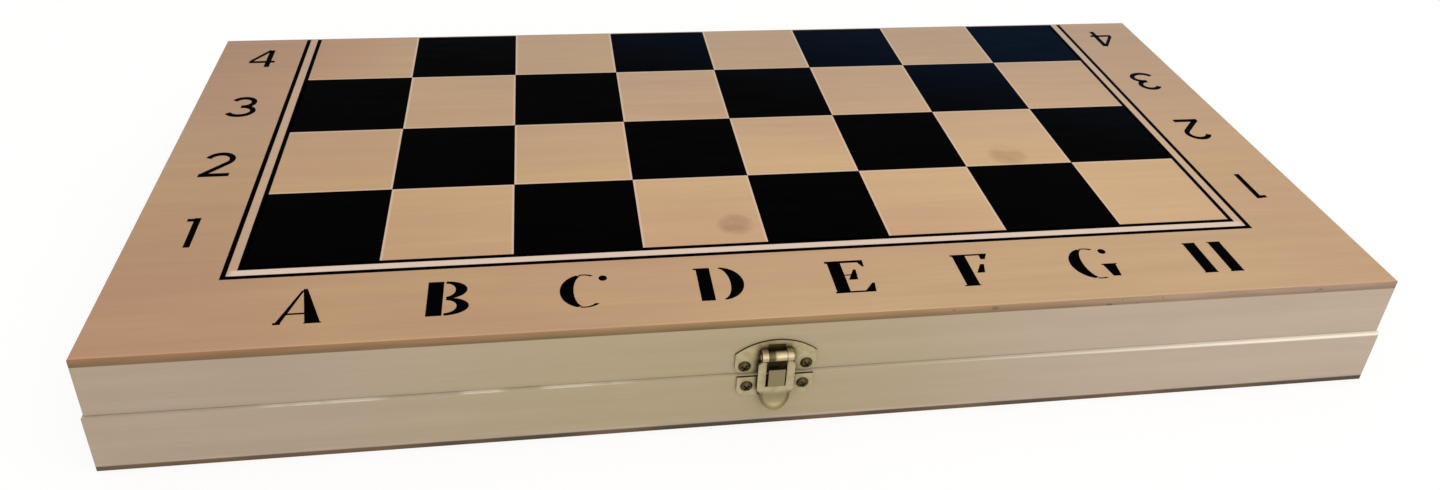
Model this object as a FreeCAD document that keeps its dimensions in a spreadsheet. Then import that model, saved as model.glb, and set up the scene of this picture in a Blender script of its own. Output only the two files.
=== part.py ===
import FreeCAD, Part
import os
import re
import Sketcher

# A chess set in a folding wooden case, closed, with the chessmen lying inside.
# Millimetres. +X runs along the front from the a file to the h file, +Y to the hinges at the back, +Z up.
# The origin is the centre of the lower panel's underside, on which the case rests.

Vector = FreeCAD.Vector

# Driving sizes

SIZES = {
    # Case: two shallow trays, each a panel on four rails, with their rims facing each other
    "case_length": 340.0,
    "case_depth": 167.5,
    "half_height": 17.5,
    "rim_gap": 0.2,
    "panel_thickness": 2.6,
    "panel_edge_rounding": 0.5,
    "rail_thickness": 8.0,
    "lid_front_setback": 0.8,
    "lid_side_setback": 0.4,
    # Butt hinges, let into the back rails' rims
    "hinge_length": 30.0,
    "hinge_inset": 45.0,
    "hinge_sheet": 1.0,
    "hinge_leaf_reach": 6.6,
    "hinge_axis_offset": 0.25,
    "hinge_barrel_radius": 2.0,
    "hinge_barrel_gap": 0.25,
    "hinge_knuckle_gap": 0.2,
    "hinge_notch_play": 0.3,
    "hinge_notch_end_play": 1.2,
    "hinge_pin_radius": 0.8,
    "hinge_pin_play": 0.04,
    "hinge_pin_head_radius": 1.3,
    "hinge_pin_head_length": 0.6,
    "hinge_screw_spacing": 16.0,
    "hinge_screw_radius": 0.9,
    "hinge_screw_head_radius": 1.7,
    "hinge_screw_head_depth": 0.75,
    "hinge_screw_length": 8.0,
    "hinge_screw_tip": 2.0,
    "hinge_screw_slot_width": 0.5,
    "hinge_screw_slot_depth": 0.4,
    "screw_play": 0.03,
    "screw_hole_spare": 0.5,
    # Latch, in the middle of the front and a little to the left
    "latch_offset": 3.2,
    "latch_sheet": 0.6,
    "latch_rim_gap": 0.4,
    "latch_upper_width": 21.2,
    "latch_upper_middle_rise": 10.6,
    "latch_upper_end_rise": 6.6,
    "latch_upper_corner": 2.2,
    "latch_upper_screw_spacing": 16.2,
    "latch_upper_screw_rise": 2.6,
    "latch_recess_low": 7.9,
    "latch_recess_high": 9.4,
    "latch_lower_width": 20.0,
    "latch_lower_drop": 6.6,
    "latch_lower_corner": 2.6,
    "latch_lower_screw_spacing": 14.8,
    "latch_lower_screw_drop": 3.4,
    "latch_screw_radius": 0.7,
    "latch_screw_head_radius": 1.55,
    "latch_screw_head_height": 0.9,
    "latch_screw_head_edge": 0.2,
    "latch_screw_length": 6.5,
    "latch_screw_tip": 1.6,
    "latch_screw_cross_width": 0.45,
    "latch_screw_cross_reach": 0.95,
    "latch_screw_cross_depth": 0.5,
    # Hasp: a strap with a window and a finger tab, swinging on a pin between two lugs
    "hasp_sheet": 0.7,
    "hasp_rest_gap": 0.2,
    "hasp_axis_rise": 6.8,
    "hasp_knuckle_radius": 1.4,
    "hasp_knuckle_width": 4.6,
    "hasp_knuckle_gap": 0.15,
    "hasp_lug_width": 1.6,
    "hasp_pin_radius": 0.5,
    "hasp_pin_play": 0.04,
    "hasp_pin_head_radius": 0.8,
    "hasp_pin_head_length": 0.35,
    "hasp_strap_width": 9.6,
    "hasp_strap_top": 1.7,
    "hasp_strap_bottom": 10.9,
    "hasp_shoulder": 0.9,
    "hasp_window_width": 5.4,
    "hasp_window_top": 2.9,
    "hasp_window_bottom": 9.9,
    "hasp_tab_width": 8.0,
    "hasp_tab_top": 12.0,
    "hasp_length": 16.9,
    "hasp_curl_start": 12.6,
    "hasp_curl_reach": 1.4,
    # Hook on the lower plate: its root passes through the hasp's window and turns up in front of it
    "hook_width": 4.3,
    "hook_sheet": 0.6,
    "hook_front_gap": 0.2,
    "hook_root_drop": 2.7,
    "hook_rise": 3.1,
    # Chessmen: a turned foot, a step, a hollow stem and a collar, then a head of their own. A curve, from
    # 0 to 1, is how far the middle of a hollow or a swelling lies from its lower end to its upper one.
    "foot_height": 3.2,
    "foot_bead": 0.6,
    "step_height": 1.8,
    "step_inset": 1.6,
    "stem_inset": 3.0,
    "stem_hollow": 1.5,
    "collar_height": 1.9,
    "collar_reach": 2.4,
    "ball_neck": 0.6,
    "piece_gap": 1.0,
    "piece_rest_gap": 0.05,
    "pawn_height": 35.0,
    "pawn_base_radius": 10.0,
    "pawn_collar_level": 19.2,
    "pawn_neck_radius": 3.3,
    "pawn_head_radius": 6.0,
    "rook_height": 40.0,
    "rook_base_radius": 11.0,
    "rook_collar_level": 25.0,
    "rook_neck_radius": 5.4,
    "rook_tower_radius": 8.0,
    "rook_tower_height": 9.0,
    "rook_bore_radius": 5.6,
    "rook_bore_depth": 3.0,
    "rook_slot_width": 2.4,
    "knight_height": 45.0,
    "knight_base_radius": 11.0,
    "knight_collar_level": 9.5,
    "knight_neck_radius": 6.4,
    "knight_head_thickness": 9.0,
    "knight_chest_reach": 6.0,
    "knight_back_reach": 6.6,
    "knight_mane_reach": 8.6,
    "knight_throat_reach": 1.6,
    "knight_throat_level": 24.5,
    "knight_muzzle_reach": 9.6,
    "knight_muzzle_low": 25.0,
    "knight_muzzle_high": 30.5,
    "knight_brow_reach": 4.6,
    "knight_brow_level": 39.0,
    "knight_ear_reach": 1.8,
    "knight_nape_level": 40.0,
    "knight_edge_bevel": 1.2,
    "bishop_height": 50.0,
    "bishop_base_radius": 11.0,
    "bishop_collar_level": 29.0,
    "bishop_neck_radius": 3.4,
    "bishop_head_radius": 5.8,
    "bishop_head_curve": 0.4,
    "bishop_ball_radius": 1.9,
    "bishop_slot_width": 1.2,
    "bishop_slot_depth": 4.2,
    "bishop_slot_curve": 0.45,
    "queen_height": 60.0,
    "queen_base_radius": 12.0,
    "queen_collar_level": 38.0,
    "queen_neck_radius": 4.0,
    "queen_crown_radius": 7.6,
    "queen_crown_level": 53.0,
    "queen_crown_curve": 0.35,
    "queen_rim_width": 2.3,
    "queen_dome_curve": 0.75,
    "queen_dome_fullness": 0.55,
    "queen_ball_radius": 2.1,
    "queen_scallop_radius": 1.5,
    "king_height": 66.0,
    "king_base_radius": 12.0,
    "king_collar_level": 40.0,
    "king_neck_radius": 4.2,
    "king_crown_radius": 7.4,
    "king_crown_level": 54.0,
    "king_crown_curve": 0.35,
    "king_dome_curve": 0.6,
    "king_dome_fullness": 0.7,
    "king_cross_height": 7.5,
    "king_cross_span": 6.6,
    "king_cross_bar": 2.2,
    "king_cross_arm_level": 3.2,
}

HINGE_KNUCKLES = 5
QUEEN_SCALLOPS = 8
# How far each latch screw was turned when it was driven home, in degrees, from left to right
LATCH_SCREW_TURNS = {"upper": (62, 35), "lower": (45, 20)}
# Places, lengths or volumes that differ by less than this count as the same
CLOSE = 1e-4

# How a sketch numbers the two ends of a line or an arc
FIRST_END = 1
LAST_END = 2

# Places worked out from the driving sizes, as formulas

PLACES = {
    "parting": "half_height + rim_gap / 2",
    "lid_rim": "half_height + rim_gap",
    "case_top": "2 * half_height + rim_gap",
    "half_length": "case_length / 2",
    "half_depth": "case_depth / 2",
    "lid_half_length": "half_length - lid_side_setback",
    "lid_front": "-half_depth + lid_front_setback",
    "hinge_centre": "half_length - hinge_inset - hinge_length / 2",
    "hinge_axis": "half_depth + hinge_axis_offset",
    "hinge_slot": "hinge_barrel_radius + hinge_barrel_gap",
    "hinge_plate_back": "hinge_axis - hinge_slot",
    "hinge_plate_front": "half_depth - hinge_leaf_reach",
    "hinge_screw_line": "(hinge_plate_back + hinge_plate_front) / 2",
    "knuckle_pitch": f"hinge_length / {HINGE_KNUCKLES}",
    "notch_length": "hinge_length + 2 * hinge_notch_end_play",
    "latch_hole_radius": "latch_screw_radius + screw_play",
    "hinge_hole_radius": "hinge_screw_radius + screw_play",
    # Measured outwards from the lower front rail's face
    "hasp_reach_behind_rail": "latch_sheet + hasp_rest_gap + hasp_sheet / 2",
    "hasp_reach_behind_knuckle": "latch_sheet - lid_front_setback + hasp_knuckle_gap + hasp_knuckle_radius",
    "hasp_axis_reach": "max(hasp_reach_behind_rail; hasp_reach_behind_knuckle)",
    "hasp_axis_y": "-half_depth - hasp_axis_reach",
    "hasp_axis_z": "parting + hasp_axis_rise",
    "hasp_lug_end": "hasp_knuckle_width / 2 + hasp_knuckle_gap + hasp_lug_width",
    "lug_reach": "lid_front_setback + hasp_axis_reach",
    "lug_radius": "hasp_knuckle_radius",
    "hook_back_reach": "hasp_axis_reach + hasp_sheet / 2 + hook_front_gap",
    "hook_front_reach": "hook_back_reach + hook_sheet",
    # The middle of a round corner lies in from the square corner, and out from the round's own centre
    "round_in": "1 - sqrt(1 / 2)",
    "round_out": "sqrt(1 / 2)",
    "latch_dome_height": "latch_screw_head_height - latch_screw_head_edge",
    "latch_dome_radius": "(latch_dome_height ^ 2 + latch_screw_head_radius ^ 2) / (2 * latch_dome_height)",
    "latch_dome_middle": "sqrt(latch_dome_radius ^ 2 - (latch_screw_head_radius / 2) ^ 2)",
    "ball_drop": "sqrt(1 - ball_neck ^ 2)",
    "bishop_ball_level": "bishop_height - bishop_ball_radius",
    "bishop_neck_level": "bishop_collar_level + 2 * collar_height",
    "bishop_head_level": "bishop_neck_level + bishop_head_curve * (bishop_ball_level - bishop_neck_level)",
}

document = FreeCAD.newDocument("folding_chess_set")
sheet = document.addObject("Spreadsheet::Sheet", "sizes")
subparts = []


def fill_sheet():
    """Writes each driving size as a plain number with an alias of its own."""
    for row, (alias, number) in enumerate(SIZES.items(), 1):
        sheet.set(f"A{row}", alias.replace("_", " "))
        sheet.set(f"B{row}", str(number))
        sheet.setAlias(f"B{row}", alias)
    document.recompute()


def formula(text):
    """The sheet's own expression for a formula written with the names of sizes and places."""

    def spell_out(match):
        word = match.group(0)
        if word in PLACES:
            return f"({formula(PLACES[word])})"
        return f"sizes.{word}" if word in SIZES else word

    return re.sub(r"[a-z][a-z_]*", spell_out, text)


def worth(text):
    """What a formula comes to now, in millimetres."""
    return float(sheet.evalExpression(formula(text)))


# Solids from primitives


def bind(thing, **properties):
    """Ties properties of an object to formulas."""
    for name, text in properties.items():
        thing.setExpression(name, formula(text))
    return thing


def put(thing, x, y, z, turn=None):
    """Places an object at a point given by formulas, turned first where a rotation is given."""
    if turn:
        thing.Placement = FreeCAD.Placement(Vector(), turn)
    for axis, text in zip("xyz", (x, y, z)):
        thing.setExpression(f"Placement.Base.{axis}", formula(text))
    return thing


def block(label, x, y, z):
    """A box between pairs of formulas along each axis."""
    box = document.addObject("Part::Box", label)
    sides = [f"({high}) - ({low})" for low, high in (x, y, z)]
    bind(box, Length=sides[0], Width=sides[1], Height=sides[2])
    return put(box, x[0], y[0], z[0])


ALONG = {
    "x": FreeCAD.Rotation(Vector(0, 1, 0), 90),
    "y": FreeCAD.Rotation(Vector(1, 0, 0), -90),
    "z": FreeCAD.Rotation(),
    "down": FreeCAD.Rotation(Vector(1, 0, 0), 180),
}


def rod(label, along, start, radius, length):
    """A cylinder from its start point along an axis."""
    cylinder = document.addObject("Part::Cylinder", label)
    bind(cylinder, Radius=radius, Height=length)
    return put(cylinder, *start, turn=ALONG[along])


def taper(label, along, start, radius, end_radius, length):
    """A cone from its start point along an axis."""
    cone = document.addObject("Part::Cone", label)
    bind(cone, Radius1=radius, Radius2=end_radius, Height=length)
    return put(cone, *start, turn=ALONG[along])


def joined(label, pieces):
    """One solid from pieces that meet."""
    fuse = document.addObject("Part::MultiFuse", label)
    fuse.Shapes = pieces
    fuse.Refine = True
    return fuse


def cut_away(label, stock, tools):
    """A piece of stock less one or more tools."""
    cut = document.addObject("Part::Cut", label)
    cut.Base = stock
    cut.Tool = tools[0] if len(tools) == 1 else joined(label + "_cutters", tools)
    return cut


def group(label, pieces):
    """Separate solids kept as one sub-part, as a bag of like screws is."""
    compound = document.addObject("Part::Compound", label)
    compound.Links = pieces
    return compound


# Solids from sketches


def new_body(label, *point, turn=None):
    """An empty body, at a point given by three formulas where there is one."""
    body = document.addObject("PartDesign::Body", label)
    return put(body, *point, turn=turn) if point else body


def plane_of(body, role):
    """One of a body's own origin planes."""
    return next(one for one in body.Origin.OriginFeatures if one.Role == role)


def add_outline(sketch, outline):
    """Draws a closed outline, fully fixed by formulas. Each corner is (across, up), or (across, up,
    across_middle, up_middle) where the span that leaves it is an arc through the middle point."""
    corners = [[worth(text) for text in corner] for corner in outline]
    first = sketch.GeometryCount
    spans = []
    for here, there in zip(corners, corners[1:] + corners[:1]):
        start = Vector(here[0], here[1], 0)
        end = Vector(there[0], there[1], 0)
        if len(here) == 4:
            spans.append(Part.Arc(start, Vector(here[2], here[3], 0), end))
        else:
            spans.append(Part.LineSegment(start, end))
    sketch.addGeometry(spans, False)
    starts = []
    for index, here in enumerate(corners):
        gap = sketch.getPoint(first + index, 1) - Vector(here[0], here[1], 0)
        starts.append(FIRST_END if gap.Length < CLOSE else LAST_END)
    constraints = []
    named = []
    for index, (corner, here) in enumerate(zip(outline, corners)):
        span = first + index
        following = (index + 1) % len(corners)
        end = FIRST_END + LAST_END - starts[index]
        meeting = (span, end, first + following, starts[following])
        constraints.append(Sketcher.Constraint("Coincident", *meeting))
        fixed = [(span, starts[index], corner[:2], here[:2])]
        if len(corner) == 4:
            middle = sketch.addGeometry(Part.Point(Vector(here[2], here[3], 0)), True)
            constraints.append(Sketcher.Constraint("PointOnObject", middle, 1, span))
            fixed.append((middle, 1, corner[2:], here[2:]))
        for geometry, point, texts, numbers in fixed:
            for kind, text, number in zip(("DistanceX", "DistanceY"), texts, numbers):
                constraints.append(Sketcher.Constraint(kind, -1, 1, geometry, point, number))
                named.append((f"{kind}_{geometry}_{point}", text, len(constraints) - 1))
    base = sketch.ConstraintCount
    sketch.addConstraint(constraints)
    for name, text, index in named:
        sketch.renameConstraint(base + index, name)
        if re.search("[a-z]", text):
            sketch.setExpression(f"Constraints.{name}", formula(text))


def add_circle(sketch, across, up, radius):
    """Draws a circle, fully fixed by formulas."""
    centre = Vector(worth(across), worth(up), 0)
    circle = sketch.addGeometry(Part.Circle(centre, Vector(0, 0, 1), worth(radius)), False)
    fixed = (("DistanceX", across), ("DistanceY", up))
    for kind, text in fixed:
        limit = Sketcher.Constraint(kind, -1, 1, circle, 3, worth(text))
        number = sketch.addConstraint(limit)
        sketch.renameConstraint(number, f"{kind}_{circle}")
        sketch.setExpression(f"Constraints.{kind}_{circle}", formula(text))
    number = sketch.addConstraint(Sketcher.Constraint("Radius", circle, worth(radius)))
    sketch.renameConstraint(number, f"Radius_{circle}")
    sketch.setExpression(f"Constraints.Radius_{circle}", formula(radius))


def new_sketch(body, name, role, outlines=(), circles=()):
    """A sketch on one of the body's origin planes."""
    sketch = body.newObject("Sketcher::SketchObject", f"{body.Name}_{name}_outline")
    sketch.AttachmentSupport = [(plane_of(body, role), "")]
    sketch.MapMode = "FlatFace"
    for outline in outlines:
        add_outline(sketch, outline)
    for circle in circles:
        add_circle(sketch, *circle)
    return sketch


def feature(body, kind, name, sketch, **properties):
    """A PartDesign feature made from a sketch of the same body."""
    made = body.newObject(f"PartDesign::{kind}", f"{body.Name}_{name}")
    made.Profile = sketch
    for key, setting in properties.items():
        setattr(made, key, setting)
    return made


def pad(body, name, sketch, length, **properties):
    """Raises material from a sketch."""
    return bind(feature(body, "Pad", name, sketch, **properties), Length=length)


def pocket(body, name, sketch, length, **properties):
    """Cuts material away from a sketch, and makes sure that something went."""
    document.recompute()
    before = body.Shape.Volume
    made = bind(feature(body, "Pocket", name, sketch, **properties), Length=length)
    document.recompute()
    if body.Shape.Volume > before - CLOSE:
        raise RuntimeError(f"{body.Label}: {name} cut nothing")
    return made


def turned(body, outline):
    """Turns an outline in the body's XZ plane about its Z axis, as on a lathe."""
    sketch = new_sketch(body, "turning", "XZ_Plane", [outline])
    made = feature(body, "Revolution", "turning", sketch)
    made.ReferenceAxis = (sketch, ["V_Axis"])
    made.Angle = 360
    return made


def keep(thing, label):
    """Names a finished sub-part, which names its file too."""
    thing.Label = label
    subparts.append(thing)
    return thing


# The case


def panel(label, half_length, front, low, high, rounded_level):
    """A thin sheet over a whole half, with its outer edges a little rounded."""
    board = new_body(label)
    corners = [
        (f"-({half_length})", front),
        (half_length, front),
        (half_length, "half_depth"),
        (f"-({half_length})", "half_depth"),
    ]
    board.setExpression("Placement.Base.z", formula(low))
    pad(board, "sheet", new_sketch(board, "sheet", "XY_Plane", [corners]), f"({high}) - ({low})")
    document.recompute()
    rounding = board.newObject("PartDesign::Fillet", f"{label}_rounding")
    level = worth(rounded_level) - worth(low)
    base = board.Group[-2]
    edges = []
    for number, edge in enumerate(base.Shape.Edges, 1):
        box = edge.BoundBox
        if abs(box.ZMin - level) < CLOSE and abs(box.ZMax - level) < CLOSE:
            edges.append(f"Edge{number}")
    rounding.Base = (base, edges)
    bind(rounding, Radius="panel_edge_rounding")
    return keep(board, label)


def hinge_places():
    """The middles of the two hinges along X, with the side that each is on."""
    return (("left", "-hinge_centre"), ("right", "hinge_centre"))


def screw_places(middle):
    """Where one hinge leaf's two screws sit along X."""
    return [f"{middle} {sign} hinge_screw_spacing / 2" for sign in "-+"]


def hinge_seats(half):
    """What is cut from a back rail for its leaves, their barrels and their screws."""
    lower = half == "lower"
    face = "half_height" if lower else "lid_rim"
    inner = "half_height - hinge_sheet" if lower else "lid_rim + hinge_sheet"
    tools = []
    for side, middle in hinge_places():
        name = f"{side}_hinge_{half}"
        ends = (f"{middle} - hinge_length / 2", f"{middle} + hinge_length / 2")
        depth = (inner, face) if lower else (face, inner)
        tools.append(block(name + "_seat", ends, ("hinge_plate_front", "half_depth"), depth))
        start = (f"{middle} - notch_length / 2", "hinge_axis", "parting")
        notch_radius = "hinge_barrel_radius + hinge_notch_play"
        tools.append(rod(name + "_notch", "x", start, notch_radius, "notch_length"))
        for number, place in enumerate(screw_places(middle), 1):
            point = (place, "hinge_screw_line", inner)
            along = "down" if lower else "z"
            depth = "hinge_screw_length - hinge_sheet + screw_hole_spare"
            tools.append(rod(name + f"_hole_{number}", along, point, "hinge_hole_radius", depth))
    return tools


def latch_holes(half):
    """The screw holes in a front rail."""
    lower = half == "lower"
    front = "-half_depth" if lower else "lid_front"
    level = "parting - latch_lower_screw_drop" if lower else "parting + latch_upper_screw_rise"
    spacing = f"latch_{half}_screw_spacing"
    tools = []
    for number, sign in enumerate("-+", 1):
        point = (f"-latch_offset {sign} {spacing} / 2", front, level)
        depth = "latch_screw_length - latch_sheet + screw_hole_spare"
        tools.append(rod(f"latch_{half}_hole_{number}", "y", point, "latch_hole_radius", depth))
    return tools


def make_half(half):
    """A tray: full-length front and back rails, side rails between them, and the panel over all four."""
    lower = half == "lower"
    low, high = ("panel_thickness", "half_height") if lower else ("lid_rim", "case_top - panel_thickness")
    end = "half_length" if lower else "lid_half_length"
    front = "-half_depth" if lower else "lid_front"
    across = (f"-({end})", end)
    back_inside = "half_depth - rail_thickness"
    front_inside = f"{front} + rail_thickness"
    upright = (low, high)
    front_stock = block(f"{half}_front_stock", across, (front, front_inside), upright)
    keep(cut_away(f"{half}_front", front_stock, latch_holes(half)), f"{half}_front_rail")
    back_stock = block(f"{half}_back_stock", across, (back_inside, "half_depth"), upright)
    keep(cut_away(f"{half}_back", back_stock, hinge_seats(half)), f"{half}_back_rail")
    between = (front_inside, back_inside)
    left_across = (f"-({end})", f"-({end}) + rail_thickness")
    keep(block(f"{half}_left", left_across, between, upright), f"{half}_left_rail")
    right_across = (f"{end} - rail_thickness", end)
    keep(block(f"{half}_right", right_across, between, upright), f"{half}_right_rail")
    if lower:
        panel("lower_panel", end, front, "0", "panel_thickness", "0")
    else:
        panel("upper_panel", end, front, high, "case_top", "case_top")


# The hinges


def hinge_leaf(side, middle, half):
    """A leaf let into the rim, with its share of the knuckles round the pin."""
    lower = half == "lower"
    name = f"{side}_hinge_{half}"
    face = "half_height" if lower else "lid_rim"
    levels = ("half_height - hinge_sheet", face) if lower else (face, "lid_rim + hinge_sheet")
    ends = (f"{middle} - hinge_length / 2", f"{middle} + hinge_length / 2")
    solids = [block(name + "_plate", ends, ("hinge_plate_front", "hinge_plate_back"), levels)]
    pin_start = (f"{middle} - notch_length / 2", "hinge_axis", "parting")
    tools = [rod(name + "_pin_bore", "x", pin_start, "hinge_pin_radius + hinge_pin_play", "notch_length")]
    last = HINGE_KNUCKLES - 1
    for knuckle in range(0 if lower else 1, HINGE_KNUCKLES, 2):
        start = f"{middle} + (knuckle_pitch * {knuckle} - hinge_length / 2)"
        low = start if knuckle == 0 else f"{start} + hinge_knuckle_gap / 2"
        high = f"{start} + knuckle_pitch" + ("" if knuckle == last else " - hinge_knuckle_gap / 2")
        tag = f"{name}_knuckle_{knuckle + 1}"
        solids.append(block(tag + "_web", (low, high), ("hinge_plate_front", "hinge_axis"), levels))
        barrel_start = (low, "hinge_axis", "parting")
        solids.append(rod(tag, "x", barrel_start, "hinge_barrel_radius", f"({high}) - ({low})"))
    for number, place in enumerate(screw_places(middle), 1):
        through = "z" if lower else "down"
        back = levels[0] if lower else levels[1]
        hole = (place, "hinge_screw_line", back)
        tools.append(rod(f"{name}_screw_bore_{number}", through, hole, "hinge_hole_radius", "hinge_sheet"))
        seat = (place, "hinge_screw_line", face)
        into = "down" if lower else "z"
        wide = "hinge_screw_head_radius + screw_play"
        sink = (f"{name}_sink_{number}", into, seat, wide, "hinge_hole_radius", "hinge_screw_head_depth")
        tools.append(taper(*sink))
    keep(cut_away(name, joined(name + "_stock", solids), tools), f"{side}_hinge_{half}_leaf")


def hinge_pin(side, middle):
    """The pin through both leaves' knuckles, with a small head at each end."""
    name = f"{side}_hinge_pin"
    start = (f"{middle} - hinge_length / 2", "hinge_axis", "parting")
    end = (f"{middle} + hinge_length / 2", "hinge_axis", "parting")
    left_start = (f"{middle} - hinge_length / 2 - hinge_pin_head_length", "hinge_axis", "parting")
    solids = [
        rod(name + "_shank", "x", start, "hinge_pin_radius", "hinge_length"),
        rod(name + "_left_head", "x", left_start, "hinge_pin_head_radius", "hinge_pin_head_length"),
        rod(name + "_right_head", "x", end, "hinge_pin_head_radius", "hinge_pin_head_length"),
    ]
    keep(joined(name + "_joined", solids), name)


def hinge_screw(name, place, half):
    """A countersunk slotted wood screw, flush with the rim."""
    lower = half == "lower"
    turn = None if lower else ALONG["down"]
    level = "half_height" if lower else "lid_rim"
    screw = new_body(name, place, "hinge_screw_line", level, turn=turn)
    outline = [
        ("0", "0"),
        ("0", "-hinge_screw_length"),
        ("hinge_screw_radius", "hinge_screw_tip - hinge_screw_length"),
        ("hinge_screw_radius", "-hinge_screw_head_depth"),
        ("hinge_screw_head_radius", "0"),
    ]
    turned(screw, outline)
    slot = [
        ("-hinge_screw_slot_width / 2", "-hinge_screw_slot_depth"),
        ("hinge_screw_slot_width / 2", "-hinge_screw_slot_depth"),
        ("hinge_screw_slot_width / 2", "hinge_screw_slot_depth"),
        ("-hinge_screw_slot_width / 2", "hinge_screw_slot_depth"),
    ]
    slot_sketch = new_sketch(screw, "slot", "XZ_Plane", [slot])
    pocket(screw, "slot", slot_sketch, "4 * hinge_screw_head_radius", SideType="Symmetric")
    return screw


def make_hinges():
    """Two butt hinges with their pins and screws."""
    screws = {"lower": [], "upper": []}
    for side, middle in hinge_places():
        for half in ("lower", "upper"):
            hinge_leaf(side, middle, half)
            for number, place in enumerate(screw_places(middle), 1):
                screws[half].append(hinge_screw(f"{side}_hinge_{half}_screw_{number}", place, half))
        hinge_pin(side, middle)
    for half, pieces in screws.items():
        keep(group(f"hinge_{half}_screw_set", pieces), f"hinge_{half}_screws")


# The latch


def latch_upper_plate():
    """A fan of thin brass with two lugs that hold the hasp's pin, and a small recess above them."""
    plate = new_body("latch_upper", "-latch_offset", "lid_front", "parting")
    side = "latch_upper_width / 2"
    corner = "latch_upper_corner"
    fan = [
        (
            f"-{side}",
            f"latch_rim_gap + {corner}",
            f"round_in * {corner} - {side}",
            f"latch_rim_gap + round_in * {corner}",
        ),
        (f"{corner} - {side}", "latch_rim_gap"),
        (
            f"{side} - {corner}",
            "latch_rim_gap",
            f"{side} - round_in * {corner}",
            f"latch_rim_gap + round_in * {corner}",
        ),
        (side, f"latch_rim_gap + {corner}"),
        (side, "latch_upper_end_rise", "0", "latch_upper_middle_rise"),
        (f"-{side}", "latch_upper_end_rise"),
    ]
    pad(plate, "fan", new_sketch(plate, "fan", "XZ_Plane", [fan]), "latch_sheet")
    lug = [
        ("0", "hasp_axis_rise - lug_radius"),
        ("0", "hasp_axis_rise + lug_radius"),
        (
            "-lug_reach",
            "hasp_axis_rise + lug_radius",
            "-lug_reach - lug_radius",
            "hasp_axis_rise",
        ),
        ("-lug_reach", "hasp_axis_rise - lug_radius"),
    ]
    lug_sketch = new_sketch(plate, "lug", "YZ_Plane", [lug])
    pad(plate, "lugs", lug_sketch, "2 * hasp_lug_end", SideType="Symmetric")
    between = [
        ("-latch_sheet", "hasp_axis_rise - 2 * lug_radius"),
        ("-latch_sheet", "hasp_axis_rise + 2 * lug_radius"),
        ("-lug_reach - 2 * lug_radius", "hasp_axis_rise + 2 * lug_radius"),
        ("-lug_reach - 2 * lug_radius", "hasp_axis_rise - 2 * lug_radius"),
    ]
    between_sketch = new_sketch(plate, "between", "YZ_Plane", [between])
    gap = "hasp_knuckle_width + 2 * hasp_knuckle_gap"
    pocket(plate, "between_lugs", between_sketch, gap, SideType="Symmetric")
    bore = [("-lug_reach", "hasp_axis_rise", "hasp_pin_radius + hasp_pin_play")]
    bore_sketch = new_sketch(plate, "bore", "YZ_Plane", circles=bore)
    pocket(plate, "pin_bore", bore_sketch, "3 * hasp_lug_end", SideType="Symmetric")
    recess = [
        ("-hasp_knuckle_width / 2", "latch_recess_low"),
        ("hasp_knuckle_width / 2", "latch_recess_low"),
        ("hasp_knuckle_width / 2", "latch_recess_high"),
        ("-hasp_knuckle_width / 2", "latch_recess_high"),
    ]
    recess_sketch = new_sketch(plate, "recess", "XZ_Plane", [recess])
    pocket(plate, "recess", recess_sketch, "4 * latch_sheet", SideType="Symmetric")
    holes = [
        (f"{sign}latch_upper_screw_spacing / 2", "latch_upper_screw_rise", "latch_hole_radius")
        for sign in ("-", "")
    ]
    holes_sketch = new_sketch(plate, "holes", "XZ_Plane", circles=holes)
    pocket(plate, "screw_holes", holes_sketch, "4 * latch_sheet", SideType="Symmetric")
    keep(plate, "latch_upper_plate")


def latch_lower_plate():
    """A plate with two screw wings and a hook that stands out of it and turns up."""
    plate = new_body("latch_lower", "-latch_offset", "-half_depth", "parting")
    wings = [
        ("-latch_lower_width / 2", "-latch_rim_gap"),
        (
            "-latch_lower_width / 2",
            "latch_lower_corner - latch_lower_drop",
            "round_in * latch_lower_corner - latch_lower_width / 2",
            "round_in * latch_lower_corner - latch_lower_drop",
        ),
        ("-latch_lower_width / 2 + latch_lower_corner", "-latch_lower_drop"),
        (
            "latch_lower_width / 2 - latch_lower_corner",
            "-latch_lower_drop",
            "latch_lower_width / 2 - round_in * latch_lower_corner",
            "round_in * latch_lower_corner - latch_lower_drop",
        ),
        ("latch_lower_width / 2", "latch_lower_corner - latch_lower_drop"),
        ("latch_lower_width / 2", "-latch_rim_gap"),
    ]
    pad(plate, "wings", new_sketch(plate, "wings", "XZ_Plane", [wings]), "latch_sheet")
    hook = [
        ("0", "-hook_root_drop"),
        ("0", "hook_sheet - hook_root_drop"),
        ("-hook_back_reach", "hook_sheet - hook_root_drop"),
        ("-hook_back_reach", "hook_rise"),
        ("-hook_front_reach", "hook_rise"),
        (
            "-hook_front_reach",
            "hook_sheet - hook_root_drop",
            "-hook_back_reach - round_out * hook_sheet",
            "round_in * hook_sheet - hook_root_drop",
        ),
        ("-hook_back_reach", "-hook_root_drop"),
    ]
    hook_sketch = new_sketch(plate, "hook", "YZ_Plane", [hook])
    pad(plate, "hook", hook_sketch, "hook_width", SideType="Symmetric")
    holes = [
        (f"{sign}latch_lower_screw_spacing / 2", "-latch_lower_screw_drop", "latch_hole_radius")
        for sign in ("-", "")
    ]
    holes_sketch = new_sketch(plate, "holes", "XZ_Plane", circles=holes)
    pocket(plate, "screw_holes", holes_sketch, "4 * latch_sheet", SideType="Symmetric")
    keep(plate, "latch_lower_plate")


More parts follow.
